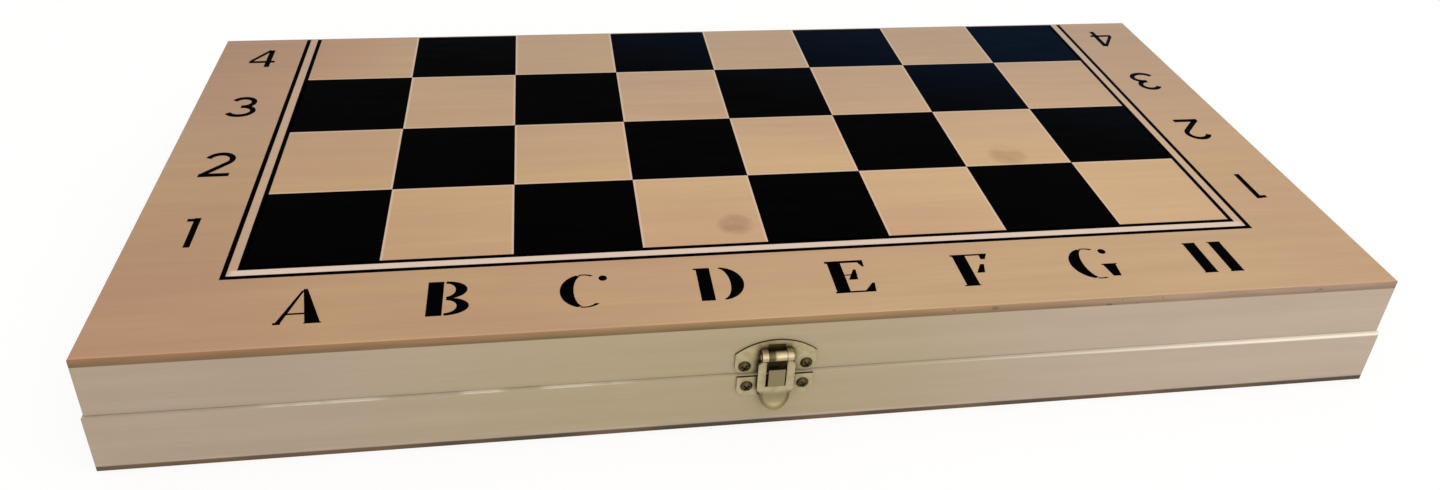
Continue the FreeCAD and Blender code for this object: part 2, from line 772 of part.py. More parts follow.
def latch_hasp():
    """A strap hanging from its knuckle, with a window for the hook and a finger tab curling outwards. The
    curl is an arc, which at half its length has gone a quarter of its reach."""
    hasp = new_body("hasp", "-latch_offset", "hasp_axis_y", "hasp_axis_z")
    back = "hasp_sheet / 2"
    front = "-hasp_sheet / 2"
    side_view = [
        (back, "0"),
        (front, "0"),
        (
            front,
            "-hasp_curl_start",
            "-hasp_sheet / 2 - hasp_curl_reach / 4",
            "-(hasp_curl_start + hasp_length) / 2",
        ),
        ("-hasp_sheet / 2 - hasp_curl_reach", "-hasp_length"),
        (
            "hasp_sheet / 2 - hasp_curl_reach",
            "-hasp_length",
            "hasp_sheet / 2 - hasp_curl_reach / 4",
            "-(hasp_curl_start + hasp_length) / 2",
        ),
        (back, "-hasp_curl_start"),
    ]
    strip = new_sketch(hasp, "strip", "YZ_Plane", [side_view])
    pad(hasp, "strip", strip, "hasp_strap_width", SideType="Symmetric")
    frame = [
        ("-hasp_strap_width", "hasp_length"),
        ("hasp_strap_width", "hasp_length"),
        ("hasp_strap_width", "-2 * hasp_length"),
        ("-hasp_strap_width", "-2 * hasp_length"),
    ]
    half_neck = "hasp_knuckle_width / 2"
    half_strap = "hasp_strap_width / 2"
    half_tab = "hasp_tab_width / 2"
    front_view = [
        (f"-{half_neck}", "1.5 * hasp_knuckle_radius"),
        (f"-{half_neck}", "-hasp_strap_top"),
        (f"hasp_shoulder - {half_strap}", "-hasp_strap_top"),
        (f"-{half_strap}", "-hasp_strap_top - hasp_shoulder"),
        (f"-{half_strap}", "-hasp_strap_bottom"),
        (f"-{half_tab}", "-hasp_tab_top"),
        (f"-{half_tab}", f"{half_tab} - hasp_length", "0", "-hasp_length"),
        (half_tab, f"{half_tab} - hasp_length"),
        (half_tab, "-hasp_tab_top"),
        (half_strap, "-hasp_strap_bottom"),
        (half_strap, "-hasp_strap_top - hasp_shoulder"),
        (f"{half_strap} - hasp_shoulder", "-hasp_strap_top"),
        (half_neck, "-hasp_strap_top"),
        (half_neck, "1.5 * hasp_knuckle_radius"),
    ]
    trim = new_sketch(hasp, "trim", "XZ_Plane", [frame, front_view])
    pocket(hasp, "trim", trim, "4 * (hasp_curl_reach + hasp_sheet)", SideType="Symmetric")
    window = [
        ("-hasp_window_width / 2", "-hasp_window_top"),
        ("hasp_window_width / 2", "-hasp_window_top"),
        ("hasp_window_width / 2", "-hasp_window_bottom"),
        ("-hasp_window_width / 2", "-hasp_window_bottom"),
    ]
    window_sketch = new_sketch(hasp, "window", "XZ_Plane", [window])
    pocket(hasp, "window", window_sketch, "4 * hasp_sheet", SideType="Symmetric")
    knuckle_sketch = new_sketch(hasp, "knuckle", "YZ_Plane", circles=[("0", "0", "hasp_knuckle_radius")])
    pad(hasp, "knuckle", knuckle_sketch, "hasp_knuckle_width", SideType="Symmetric")
    bore_radius = "hasp_pin_radius + hasp_pin_play"
    bore_sketch = new_sketch(hasp, "bore", "YZ_Plane", circles=[("0", "0", bore_radius)])
    pocket(hasp, "pin_bore", bore_sketch, "2 * hasp_knuckle_width", SideType="Symmetric")
    keep(hasp, "latch_hasp")


def latch_pin():
    """The hasp's pin, headed at both ends outside the lugs."""
    centre = "-latch_offset"
    start = (f"{centre} - hasp_lug_end", "hasp_axis_y", "hasp_axis_z")
    end = (f"{centre} + hasp_lug_end", "hasp_axis_y", "hasp_axis_z")
    left_start = (f"{centre} - hasp_lug_end - hasp_pin_head_length", "hasp_axis_y", "hasp_axis_z")
    solids = [
        rod("latch_pin_shank", "x", start, "hasp_pin_radius", "2 * hasp_lug_end"),
        rod("latch_pin_left_head", "x", left_start, "hasp_pin_head_radius", "hasp_pin_head_length"),
        rod("latch_pin_right_head", "x", end, "hasp_pin_head_radius", "hasp_pin_head_length"),
    ]
    keep(joined("latch_pin_joined", solids), "latch_pin")


def latch_screw(name, x, y, z, driven):
    """A small round-headed cross-recessed wood screw, its head outwards, driven to an angle in degrees."""
    outwards = FreeCAD.Rotation(Vector(1, 0, 0), 90)
    screw = new_body(name, x, y, z, turn=outwards * FreeCAD.Rotation(Vector(0, 0, 1), driven))
    top = "latch_sheet + latch_screw_head_height"
    outline = [
        ("0", "latch_sheet - latch_screw_length"),
        ("latch_screw_radius", "latch_sheet - latch_screw_length + latch_screw_tip"),
        ("latch_screw_radius", "latch_sheet"),
        ("latch_screw_head_radius", "latch_sheet"),
        (
            "latch_screw_head_radius",
            "latch_sheet + latch_screw_head_edge",
            "latch_screw_head_radius / 2",
            f"{top} - latch_dome_radius + latch_dome_middle",
        ),
        ("0", top),
    ]
    turned(screw, outline)
    arm = [
        ("-latch_screw_cross_width / 2", f"{top} - latch_screw_cross_depth"),
        ("latch_screw_cross_width / 2", f"{top} - latch_screw_cross_depth"),
        ("latch_screw_cross_width / 2", f"{top} + latch_screw_cross_depth"),
        ("-latch_screw_cross_width / 2", f"{top} + latch_screw_cross_depth"),
    ]
    for arm_name, role in (("arm_across", "XZ_Plane"), ("arm_along", "YZ_Plane")):
        sketch = new_sketch(screw, arm_name, role, [arm])
        pocket(screw, arm_name, sketch, "2 * latch_screw_cross_reach", SideType="Symmetric")
    return screw


def make_latch():
    """The latch's plates, hasp, pin and screws."""
    latch_upper_plate()
    latch_lower_plate()
    latch_hasp()
    latch_pin()
    levels = {
        "upper": ("lid_front", "parting + latch_upper_screw_rise"),
        "lower": ("-half_depth", "parting - latch_lower_screw_drop"),
    }
    for half, (front, level) in levels.items():
        screws = []
        for sign, driven in zip("-+", LATCH_SCREW_TURNS[half]):
            across = f"-latch_offset {sign} latch_{half}_screw_spacing / 2"
            name = f"latch_{half}_screw_{len(screws) + 1}"
            screws.append(latch_screw(name, across, front, level, driven))
        keep(group(f"latch_{half}_screw_pair", screws), f"latch_{half}_screws")


# The chessmen


def turned_foot(kind):
    """The outline that all chessmen share, from the middle of the base up to the top of the collar."""
    base = f"{kind}_base_radius"
    neck = f"{kind}_neck_radius"
    collar = f"{kind}_collar_level"
    step_top = "foot_height + step_height"
    return [
        ("0", "0"),
        (f"{base} - foot_bead", "0", base, "foot_height / 2"),
        (f"{base} - foot_bead", "foot_height"),
        (f"{base} - step_inset", "foot_height"),
        (f"{base} - step_inset", step_top),
        (
            f"{base} - stem_inset",
            step_top,
            f"({base} - stem_inset + {neck}) / 2 - stem_hollow",
            f"({step_top} + {collar}) / 2",
        ),
        (neck, collar, f"{neck} + collar_reach", f"{collar} + collar_height / 2"),
        (neck, f"{collar} + collar_height"),
    ]


def pawn(body):
    """A ball on the collar."""
    centre = "pawn_height - pawn_head_radius"
    meeting = f"{centre} - sqrt(pawn_head_radius ^ 2 - pawn_neck_radius ^ 2)"
    head = [("pawn_neck_radius", meeting, "pawn_head_radius", centre), ("0", "pawn_height")]
    turned(body, turned_foot("pawn") + head)


def rook(body):
    """A flared tower with a sunk top and four battlements."""
    tower = [
        ("rook_tower_radius", "rook_height - rook_tower_height"),
        ("rook_tower_radius", "rook_height"),
        ("rook_bore_radius", "rook_height"),
        ("rook_bore_radius", "rook_height - rook_bore_depth"),
        ("0", "rook_height - rook_bore_depth"),
    ]
    turned(body, turned_foot("rook") + tower)
    slot = [
        ("-rook_slot_width / 2", "rook_height - rook_bore_depth"),
        ("rook_slot_width / 2", "rook_height - rook_bore_depth"),
        ("rook_slot_width / 2", "rook_height + rook_bore_depth"),
        ("-rook_slot_width / 2", "rook_height + rook_bore_depth"),
    ]
    for name, role in (("slot_across", "XZ_Plane"), ("slot_along", "YZ_Plane")):
        sketch = new_sketch(body, name, role, [slot])
        pocket(body, name, sketch, "4 * rook_tower_radius", SideType="Symmetric")


def bishop(body):
    """A mitre with a slanting cut and a small ball on top."""
    head = [
        ("bishop_neck_radius", "bishop_neck_level", "bishop_head_radius", "bishop_head_level"),
        (
            "ball_neck * bishop_ball_radius",
            "bishop_ball_level - ball_drop * bishop_ball_radius",
            "bishop_ball_radius",
            "bishop_ball_level",
        ),
        ("0", "bishop_height"),
    ]
    turned(body, turned_foot("bishop") + head)
    low = "bishop_neck_level + bishop_slot_curve * (bishop_ball_level - bishop_neck_level)"
    slot = [
        ("bishop_head_radius - bishop_slot_depth", low),
        ("2 * bishop_head_radius - bishop_slot_depth", f"{low} + bishop_head_radius"),
        ("2 * bishop_head_radius - bishop_slot_depth", f"{low} + bishop_head_radius + bishop_slot_width"),
        ("bishop_head_radius - bishop_slot_depth", f"{low} + bishop_slot_width"),
    ]
    sketch = new_sketch(body, "mitre_cut", "XZ_Plane", [slot])
    pocket(body, "mitre_cut", sketch, "4 * bishop_head_radius", SideType="Symmetric")


def queen(body):
    """A flared crown with a scalloped rim and a small ball."""
    ball = "queen_height - queen_ball_radius"
    ball_foot = f"{ball} - ball_drop * queen_ball_radius"
    dome_edge = "queen_crown_radius - queen_rim_width"
    dome_foot = "queen_crown_level + queen_scallop_radius"
    top = "queen_collar_level + collar_height"
    head = [
        (
            "queen_neck_radius",
            f"{top} + collar_height",
            "queen_neck_radius + queen_crown_curve * (queen_crown_radius - queen_neck_radius)",
            f"(({top}) + collar_height + queen_crown_level) / 2",
        ),
        ("queen_crown_radius", "queen_crown_level"),
        (
            dome_edge,
            dome_foot,
            f"queen_ball_radius + queen_dome_fullness * ({dome_edge} - queen_ball_radius)",
            f"{dome_foot} + queen_dome_curve * ({ball_foot} - ({dome_foot}))",
        ),
        ("ball_neck * queen_ball_radius", ball_foot, "queen_ball_radius", ball),
        ("0", "queen_height"),
    ]
    turned(body, turned_foot("queen") + head)
    scallop = [("0", "queen_crown_level + queen_scallop_radius", "queen_scallop_radius")]
    sketch = new_sketch(body, "scallop", "YZ_Plane", circles=scallop)
    cut = pocket(body, "scallop", sketch, "2 * queen_crown_radius", Reversed=True)
    pattern = body.newObject("PartDesign::PolarPattern", f"{body.Name}_scallops")
    pattern.Originals = [cut]
    pattern.Axis = (plane_of(body, "Z_Axis"), [""])
    pattern.Angle = 360
    pattern.Occurrences = QUEEN_SCALLOPS
    body.Tip = pattern


def king(body):
    """A flared crown with a low dome and a cross."""
    top = "king_collar_level + collar_height"
    cross_foot = "king_height - king_cross_height"
    head = [
        (
            "king_neck_radius",
            f"{top} + collar_height",
            "king_neck_radius + king_crown_curve * (king_crown_radius - king_neck_radius)",
            f"(({top}) + collar_height + king_crown_level) / 2",
        ),
        (
            "king_crown_radius",
            "king_crown_level",
            "king_dome_fullness * king_crown_radius",
            f"king_crown_level + king_dome_curve * ({cross_foot} - king_crown_level)",
        ),
        ("0", cross_foot),
    ]
    turned(body, turned_foot("king") + head)
    bar = "king_cross_bar / 2"
    arm = "king_cross_span / 2"
    arm_low = f"{cross_foot} + king_cross_arm_level"
    cross = [
        (f"-{bar}", f"{cross_foot} - king_cross_bar"),
        (bar, f"{cross_foot} - king_cross_bar"),
        (bar, arm_low),
        (arm, arm_low),
        (arm, f"{arm_low} + king_cross_bar"),
        (bar, f"{arm_low} + king_cross_bar"),
        (bar, "king_height"),
        (f"-{bar}", "king_height"),
        (f"-{bar}", f"{arm_low} + king_cross_bar"),
        (f"-{arm}", f"{arm_low} + king_cross_bar"),
        (f"-{arm}", arm_low),
        (f"-{bar}", arm_low),
    ]
    sketch = new_sketch(body, "cross", "XZ_Plane", [cross])
    pad(body, "cross", sketch, "king_cross_bar", SideType="Symmetric")


def knight(body):
    """A horse's head sawn from flat stock, on a short turned base."""
    top = "knight_collar_level + collar_height"
    turned(body, turned_foot("knight") + [("0", top)])
    sink = f"{top} - collar_height / 2"
    head = [
        (
            "-knight_chest_reach",
            sink,
            "-(knight_chest_reach + 3 * knight_throat_reach) / 4",
            f"(({sink}) + 2 * knight_throat_level) / 3",
        ),
        ("-knight_throat_reach", "knight_throat_level"),
        ("-knight_muzzle_reach + knight_edge_bevel", "knight_muzzle_low"),
        ("-knight_muzzle_reach", "knight_muzzle_low + knight_edge_bevel"),
        (
            "-knight_muzzle_reach + knight_edge_bevel / 2",
            "knight_muzzle_high",
            "-(knight_muzzle_reach + knight_brow_reach) / 2 + knight_edge_bevel",
            "(knight_muzzle_high + knight_brow_level) / 2",
        ),
        ("-knight_brow_reach", "knight_brow_level"),
        ("-knight_ear_reach", "knight_height"),
        (
            "0",
            "knight_nape_level",
            "knight_mane_reach",
            f"(({sink}) + 2 * knight_nape_level) / 3",
        ),
        ("knight_back_reach", sink),
    ]
    sketch = new_sketch(body, "head", "XZ_Plane", [head])
    made = pad(body, "head", sketch, "knight_head_thickness", SideType="Symmetric")
    document.recompute()
    bevel_head(body, made)


def bevel_head(body, made):
    """Takes the sharp edges off the flat sides of the horse's head."""
    side = worth("knight_head_thickness / 2")
    clear_of_base = worth("knight_collar_level + collar_height + knight_edge_bevel")
    edges = []
    for number, edge in enumerate(made.Shape.Edges, 1):
        box = edge.BoundBox
        flat = box.YLength < CLOSE and abs(abs(box.YMin) - side) < CLOSE
        if flat and box.ZMax > clear_of_base:
            edges.append(f"Edge{number}")
    bevel = body.newObject("PartDesign::Chamfer", f"{body.Name}_bevel")
    bevel.Base = (made, edges)
    bind(bevel, Size="knight_edge_bevel")


# The widest point of each head, as radius and height: a chessman lies on this and on its foot
LYING_ON = {
    "pawn": ("pawn_head_radius", "pawn_height - pawn_head_radius"),
    "rook": ("rook_tower_radius", "rook_height"),
    "knight": ("knight_head_thickness / 2", "knight_height"),
    "bishop": ("bishop_head_radius", "bishop_head_level"),
    "queen": ("queen_crown_radius", "queen_crown_level"),
    "king": ("king_crown_radius", "king_crown_level"),
}

MAKERS = {"pawn": pawn, "rook": rook, "knight": knight, "bishop": bishop, "queen": queen, "king": king}
COUNT_OF_EACH = (("king", 1), ("queen", 1), ("bishop", 2), ("knight", 2), ("rook", 2), ("pawn", 8))


def lying_turn(kind, towards_back):
    """The turn that lays a chessman down along Y so that its foot and its head both touch the floor."""
    radius, height = (worth(text) for text in LYING_ON[kind])
    drop = worth(f"{kind}_base_radius") - radius
    run = height - worth("foot_height / 2")
    axis = Vector(0, run if towards_back else -run, -drop)
    return FreeCAD.Rotation(Vector(0, 0, 1), axis)


def lying_box(body, turn):
    """The space that a chessman takes once it is laid down, at its own origin."""
    shape = body.Shape.copy()
    shape.Placement = FreeCAD.Placement(Vector(), turn)
    return shape.optimalBoundingBox(False, False)


def lay_down(men, wall, inward):
    """Lays one side's chessmen in columns between the front and back rails, from a side wall inwards."""
    gap = worth("piece_gap")
    low = worth("-half_depth + rail_thickness + max(0; lid_front_setback)") + gap
    high = worth("half_depth - rail_thickness") - gap
    columns = []
    for body, kind in men:
        length = lying_box(body, lying_turn(kind, True)).YLength
        roomy = (one for one in columns if one["used"] + length <= high - low)
        column = next(roomy, None)
        if column is None:
            column = {"used": 0.0, "men": []}
            columns.append(column)
        column["men"].append((body, kind))
        column["used"] += length + gap
    edge = wall
    for number, column in enumerate(columns):
        width = max(2 * worth(f"{kind}_base_radius") for _, kind in column["men"])
        centre = edge + inward * (gap + width / 2)
        spare = high - low - column["used"] + gap
        reach = low + (spare if number % 2 else 0.0)
        for place, (body, kind) in enumerate(column["men"]):
            turn = lying_turn(kind, (place + number) % 2 == 0)
            box = lying_box(body, turn)
            rise = worth("panel_thickness + piece_rest_gap") - box.ZMin
            base = Vector(centre - box.Center.x, reach - box.YMin, rise)
            body.Placement = FreeCAD.Placement(base, turn)
            reach += box.YLength + gap
        edge += inward * (gap + width)


def make_chessmen():
    """Sixteen white and sixteen black chessmen, each a sub-part of its own."""
    walls = {"white": -1, "black": 1}
    for colour, side in walls.items():
        men = []
        for kind, count in COUNT_OF_EACH:
            for number in range(1, count + 1):
                name = f"{colour}_{kind}" if count == 1 else f"{colour}_{kind}_{number}"
                body = new_body(name)
                MAKERS[kind](body)
                document.recompute()
                men.append((keep(body, name), kind))
        men.sort(key=lambda man: -worth(f"{man[1]}_height"))
        lay_down(men, side * worth("lid_half_length - rail_thickness"), -side)


# Checks and files


def check():
    """Stops if anything in the document failed, or if a sub-part isn't made of sound solids."""
    document.recompute()
    for thing in document.Objects:
        if "Invalid" in thing.State or "Error" in thing.State:
            raise RuntimeError(f"{thing.Label} failed: {thing.State}")
    for thing in subparts:
        shape = thing.Shape
        if shape.isNull() or not shape.isValid() or not shape.Solids:
            raise RuntimeError(f"{thing.Label} isn't a sound solid")
        wanted = len(thing.Links) if thing.TypeId == "Part::Compound" else 1
        if len(shape.Solids) != wanted:
            raise RuntimeError(f"{thing.Label} has {len(shape.Solids)} solids, not {wanted}")


def write_files():
    """Writes one STEP file for each sub-part."""
    os.makedirs("parts", exist_ok=True)
    for thing in subparts:
        thing.Shape.exportStep(f"parts/{thing.Label}.step")
    print(f"{len(subparts)} sub-parts written")


fill_sheet()
make_half("lower")
make_half("upper")
make_hinges()
make_latch()
make_chessmen()
check()
write_files()
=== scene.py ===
import math

import bmesh
import bpy
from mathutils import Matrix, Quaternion, Vector


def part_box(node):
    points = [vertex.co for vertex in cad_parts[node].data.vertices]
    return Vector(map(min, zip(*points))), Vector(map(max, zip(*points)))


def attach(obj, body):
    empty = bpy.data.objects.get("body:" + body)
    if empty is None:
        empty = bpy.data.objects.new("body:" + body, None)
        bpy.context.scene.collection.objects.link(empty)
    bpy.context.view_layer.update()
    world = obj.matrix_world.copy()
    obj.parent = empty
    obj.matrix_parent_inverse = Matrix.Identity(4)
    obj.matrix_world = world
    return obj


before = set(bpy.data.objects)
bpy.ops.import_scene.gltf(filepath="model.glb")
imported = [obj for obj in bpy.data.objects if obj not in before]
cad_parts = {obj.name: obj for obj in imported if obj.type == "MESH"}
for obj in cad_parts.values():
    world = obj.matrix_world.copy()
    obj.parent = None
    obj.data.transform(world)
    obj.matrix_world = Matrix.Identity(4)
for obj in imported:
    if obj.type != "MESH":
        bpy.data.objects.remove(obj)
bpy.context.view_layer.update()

# A chess set in a folding wooden case. Half of the board is printed on each outer face, pale rails run
# round the sides, a small brass latch closes the front, and the chessmen lie inside.
# Metres. +X runs from the a file to the h file, +Y to the hinges at the back, +Z up.

MM = 0.001

# The print on each outer face, as it is seen with the face's front edge at the bottom. The letters are
# spaced a little wider than the squares.
SQUARE = 34.5 * MM
FILES = 8
ROWS = 4
BOARD_HALF = FILES / 2 * SQUARE
FRONT_MARGIN = 31.3 * MM
FOLD_ROUNDING = 1.0 * MM
INK_HEIGHT = 0.03 * MM
INK_SUNK = 0.01 * MM
LINE_WIDTH = 1.3 * MM
LINE_SPACING = 3.65 * MM
LETTER_PITCH = 34.8 * MM
LETTER_MIDDLE = 14.8 * MM
NUMERAL_INSET = 15.0 * MM

# Letters and numerals, in millimetres about their own middles
TALL = 13.5
STEM = 3.6
HAIR = 0.4
PEN = 1.7
DOT = 1.1
ARC_STEP = 9

# The camera's place and what it looks at on the board, its lens, and the photograph's crop
CAMERA_EYE = (-0.05993, -0.29841, 0.21776)
CAMERA_FORWARD = (0.15085, 0.85369, -0.49846)
CAMERA_ROLL = 3.166
CAMERA_LENS = 28.29
CAMERA_SHIFT = (0.0023, -0.0843)
CAMERA_NEAR = 0.01

# The floor and the light from all round. The floor glows by itself in part, and is lit for the rest.
FLOOR_REACH = 4.0
FLOOR_DROP = 0.06 * MM
FLOOR_WHITE = (0.82, 0.81, 0.8)
FLOOR_GLOW = 1.08
FLOOR_GLOW_SHARE = 0.78
SKY_COLOUR = (1.0, 0.99, 0.97)
SKY_STRENGTH = 0.8

# Soft square lamps that face the case: place, side, power in watts and colour
LAMPS = {
    "key_lamp": ((0.5, -0.6, 1.0), 0.7, 1.6, (1.0, 0.98, 0.95)),
    "front_lamp": ((0.15, -1.25, 0.45), 1.0, 5.0, (1.0, 0.98, 0.96)),
}

# Colours, as linear red, green and blue
# The veneer's tone from left to right: partly its own, partly painted light
TAN_LEFT = (0.455, 0.275, 0.15)
TAN_RIGHT = (0.555, 0.36, 0.2)
TAN_FAR = (0.44, 0.3, 0.2)
ROSY = (0.44, 0.225, 0.145)
HONEY = (0.56, 0.37, 0.175)
SMUDGE = (0.26, 0.115, 0.055)
PALE_LINE = (0.76, 0.6, 0.5)
EDGE_OLIVE = (0.28, 0.145, 0.07)
EDGE_RED = (0.32, 0.195, 0.09)
EDGE_MAUVE = (0.36, 0.24, 0.175)
EDGE_LOW = (0.16, 0.11, 0.05)
EDGE_NICK = (0.09, 0.06, 0.04)
# Painted shade at the foot of the lower panel's edge
EDGE_FOOT_SHADE = (0.06, 0.047, 0.028)
EDGE_FOOT_SHADE_BROWN = (0.13, 0.078, 0.042)
# The rails' tone from left to right: partly their own, partly painted light
RAIL_LEFT = (0.405, 0.32, 0.24)
RAIL_RIGHT = (0.46, 0.37, 0.29)
RAIL_OLIVE = (0.39, 0.315, 0.19)
RAIL_STREAK = (0.33, 0.25, 0.17)
RAIL_END = (0.3, 0.215, 0.135)
# Painted highlight on the lower front rail's top edge
LEDGE_HIGHLIGHT = (0.9, 0.82, 0.68)
PLY_INSIDE = (0.5, 0.36, 0.22)
INK = (0.0002, 0.0002, 0.0003)
# A painted reflection on the ink towards the far right
INK_REFLECTION_BLUE = (0.001, 0.0055, 0.014)
BRASS = (0.47, 0.4, 0.24)
BRASS_WARM = (0.38, 0.29, 0.14)
# Painted shade on the latch's tab and hook
BRASS_SHADE_OLIVE = (0.25, 0.205, 0.11)
SCREW_BROWN = (0.075, 0.053, 0.024)
# Painted shade round the latch's tab
BRASS_RIM_SHADE = (0.13, 0.1, 0.04)
# Near black: tarnish, and painted shade in the latch's hollows and slot
TARNISH_AND_SHADE = (0.025, 0.016, 0.003)
BOXWOOD = (0.6, 0.4, 0.2)
BOXWOOD_DARK = (0.42, 0.25, 0.11)
EBONY = (0.022, 0.013, 0.01)
EBONY_RED = (0.06, 0.026, 0.016)

# Noises, as clouds to the metre along x, y and z. The rails' are given by the axis that a rail lies along.
VENEER_GRAIN = (16, 330, 16)
VENEER_PORES = (90, 2400, 90)
ROSY_PATCHES = (7, 16, 7)
HONEY_PATCHES = (9, 26, 9)
SMUDGE_MOTTLE = (110, 190, 110)
EDGE_FIBRES = (60, 60, 900)
EDGE_PATCHES = (26, 26, 4)
EDGE_NICKS = (190, 190, 500)
RAIL_GRAIN = {"x": (11, 260, 260), "y": (260, 11, 260)}
RAIL_PORES = {"x": (70, 1700, 1700), "y": (1700, 70, 1700)}
RAIL_CLOUDS = (14, 14, 30)
RAIL_RINGS = (500, 500, 220)
LEDGE_DASHES = (70, 3, 3)
INK_WEAR = (60, 300, 60)
BRASS_BLOTCHES = (500, 500, 500)
BRASS_SCRATCHES = (300, 2600, 900)
TURNED_GRAIN = (330, 22, 330)
TURNED_PORES = (1500, 120, 1500)

# How deep the grain and the scratches are
VENEER_RELIEF = 0.05 * MM
RAIL_RELIEF = 0.06 * MM
BRASS_RELIEF = 0.02 * MM
TURNED_RELIEF = 0.04 * MM

# Pale wood along the print: rims beside the squares, and the gap between the frame's two lines, which is
# full to one distance from its middle and gone at the next. The board's brighter tone ends over the blur.
RIM_WIDTH = 0.8 * MM
GAP_FULL = 0.9 * MM
GAP_GONE = 1.6 * MM
BOARD_BLUR = 0.02 * SQUARE

# Smudges on the upper half's outer face: place across and along it, reach and strength
SMUDGES = ((-7.6 * MM, -42.3 * MM, 6 * MM, 1.0), (84.5 * MM, -11.4 * MM, 7 * MM, 0.8))

# Tarnish and painted shade gather where something stands within this distance
CORNER_REACH = 3.2 * MM


# Materials. The shares, limits and changes in them are plain numbers, mostly from 0 to 1.


class Value:
    """An output of a node. Python's operators on it add the nodes that work out the result."""

    def __init__(self, finish, socket):
        self.finish = finish
        self.socket = socket

    def __add__(self, other):
        return self.finish.maths("ADD", self, other)

    def __sub__(self, other):
        return self.finish.maths("SUBTRACT", self, other)

    def __rsub__(self, other):
        return self.finish.maths("SUBTRACT", other, self)

    def __mul__(self, other):
        return self.finish.maths("MULTIPLY", self, other)

    def __truediv__(self, other):
        return self.finish.maths("DIVIDE", self, other)

    def __pow__(self, other):
        return self.finish.maths("POWER", self, other)

    def __abs__(self):
        return self.finish.maths("ABSOLUTE", self)

    __radd__ = __add__
    __rmul__ = __mul__


class Nodes:
    """The nodes of a material or of the world."""

    def __init__(self, owner):
        owner.use_nodes = True
        self.tree = owner.node_tree

    def node(self, kind, settings=None, inputs=None, output=0):
        """Adds a node, sets its settings and then its inputs, and gives back one of its outputs, if any."""
        made = self.tree.nodes.new(kind)
        for name, setting in (settings or {}).items():
            setattr(made, name, setting)
        for name, given in (inputs or {}).items():
            self.feed(made.inputs[name], given)
        return None if output is None else Value(self, made.outputs[output])

    def feed(self, socket, given):
        """Links an output to an input, or sets the input's own value."""
        if isinstance(given, Value):
            self.tree.links.new(given.socket, socket)
        elif socket.type == "RGBA":
            socket.default_value = (*given, 1.0)
        else:
            socket.default_value = given

    def maths(self, operation, *given):
        """One sum on numbers."""
        return self.node("ShaderNodeMath", {"operation": operation}, dict(enumerate(given)))

    def greatest(self, most, *others):
        """The greatest of some numbers."""
        for other in others:
            most = self.maths("MAXIMUM", most, other)
        return most

    def mixed(self, share, first, second):
        """The first shader, turning into the second as the share goes from 0 to 1."""
        return self.node("ShaderNodeMixShader", inputs={0: share, 1: first, 2: second}, output="Shader")

    def seen_rays(self):
        """1 for rays that show the background: the camera's own, reflected and refracted ones."""
        kinds = ("Camera", "Glossy", "Transmission")
        return self.greatest(*[self.node("ShaderNodeLightPath", output=f"Is {kind} Ray") for kind in kinds])


class Finish(Nodes):
    """A material in the making, with the coordinates and the facing of the piece that wears it."""

    def __init__(self, name):
        self.material = bpy.data.materials.new(name)
        super().__init__(self.material)
        self.surface = self.tree.nodes["Principled BSDF"]
        self.place = self.node("ShaderNodeTexCoord", output="Object")
        self.x, self.y, self.z = self.split(self.place)
        self.facing = self.split(self.node("ShaderNodeTexCoord", output="Normal"))

    def split(self, vector):
        """A vector's three parts."""
        parts = self.node("ShaderNodeSeparateXYZ", inputs={"Vector": vector})
        return [Value(self, socket) for socket in parts.socket.node.outputs]

    def ease(self, given, low, high):
        """Runs smoothly from 0 at low to 1 at high."""
        inputs = {"Value": given, "From Min": low, "From Max": high}
        return self.node("ShaderNodeMapRange", {"interpolation_type": "SMOOTHSTEP"}, inputs)

    def blend(self, share, first, second):
        """The first colour, turning into the second as the share goes from 0 to 1."""
        return self.node("ShaderNodeMix", {"data_type": "RGBA"}, {0: share, 6: first, 7: second}, output=2)

    def noise(self, stretch, detail=2.0, shift=(0.0, 0.0, 0.0)):
        """Cloudy noise from 0 to 1, with so many clouds to the metre along each axis."""
        scaled = self.node("ShaderNodeVectorMath", {"operation": "MULTIPLY"}, {0: self.place, 1: stretch})
        moved = self.node("ShaderNodeVectorMath", {"operation": "ADD"}, {0: scaled, 1: shift})
        return self.node("ShaderNodeTexNoise", inputs={"Vector": moved, "Scale": 1.0, "Detail": detail})

    def shade(self, colour, change):
        """A colour made lighter or darker by a number about 0."""
        return self.node("ShaderNodeVectorMath", {"operation": "SCALE"}, {0: colour, "Scale": change + 1.0})

    def bump(self, height, depth, strength):
        """Raises the surface by a height from 0 to 1 of a depth in metres."""
        inputs = {"Height": height, "Distance": depth, "Strength": strength}
        self.feed(self.surface.inputs["Normal"], self.node("ShaderNodeBump", inputs=inputs))

    def finished(self, **inputs):
        """Sets the surface's inputs, with their names in Python's spelling, and gives back the material."""
        for name, given in inputs.items():
            self.feed(self.surface.inputs[name.replace("_", " ").title().replace("Ior", "IOR")], given)
        return self.material


def near(finish, across, along, across_place, along_place, reach):
    """1 at a place on a face, falling to 0 at its reach along and across."""
    gap = ((across - across_place) / reach) ** 2.0 + ((along - along_place) / reach) ** 2.0
    return 1.0 - finish.ease(gap, 0.2, 1.0)


def stripes(finish, across, pitch, start, width):
    """1 along lines at an even pitch."""
    shifted = finish.maths("FLOORED_MODULO", across - (start - pitch / 2), pitch)
    return 1.0 - finish.ease(abs(shifted - pitch / 2), width / 2, width)


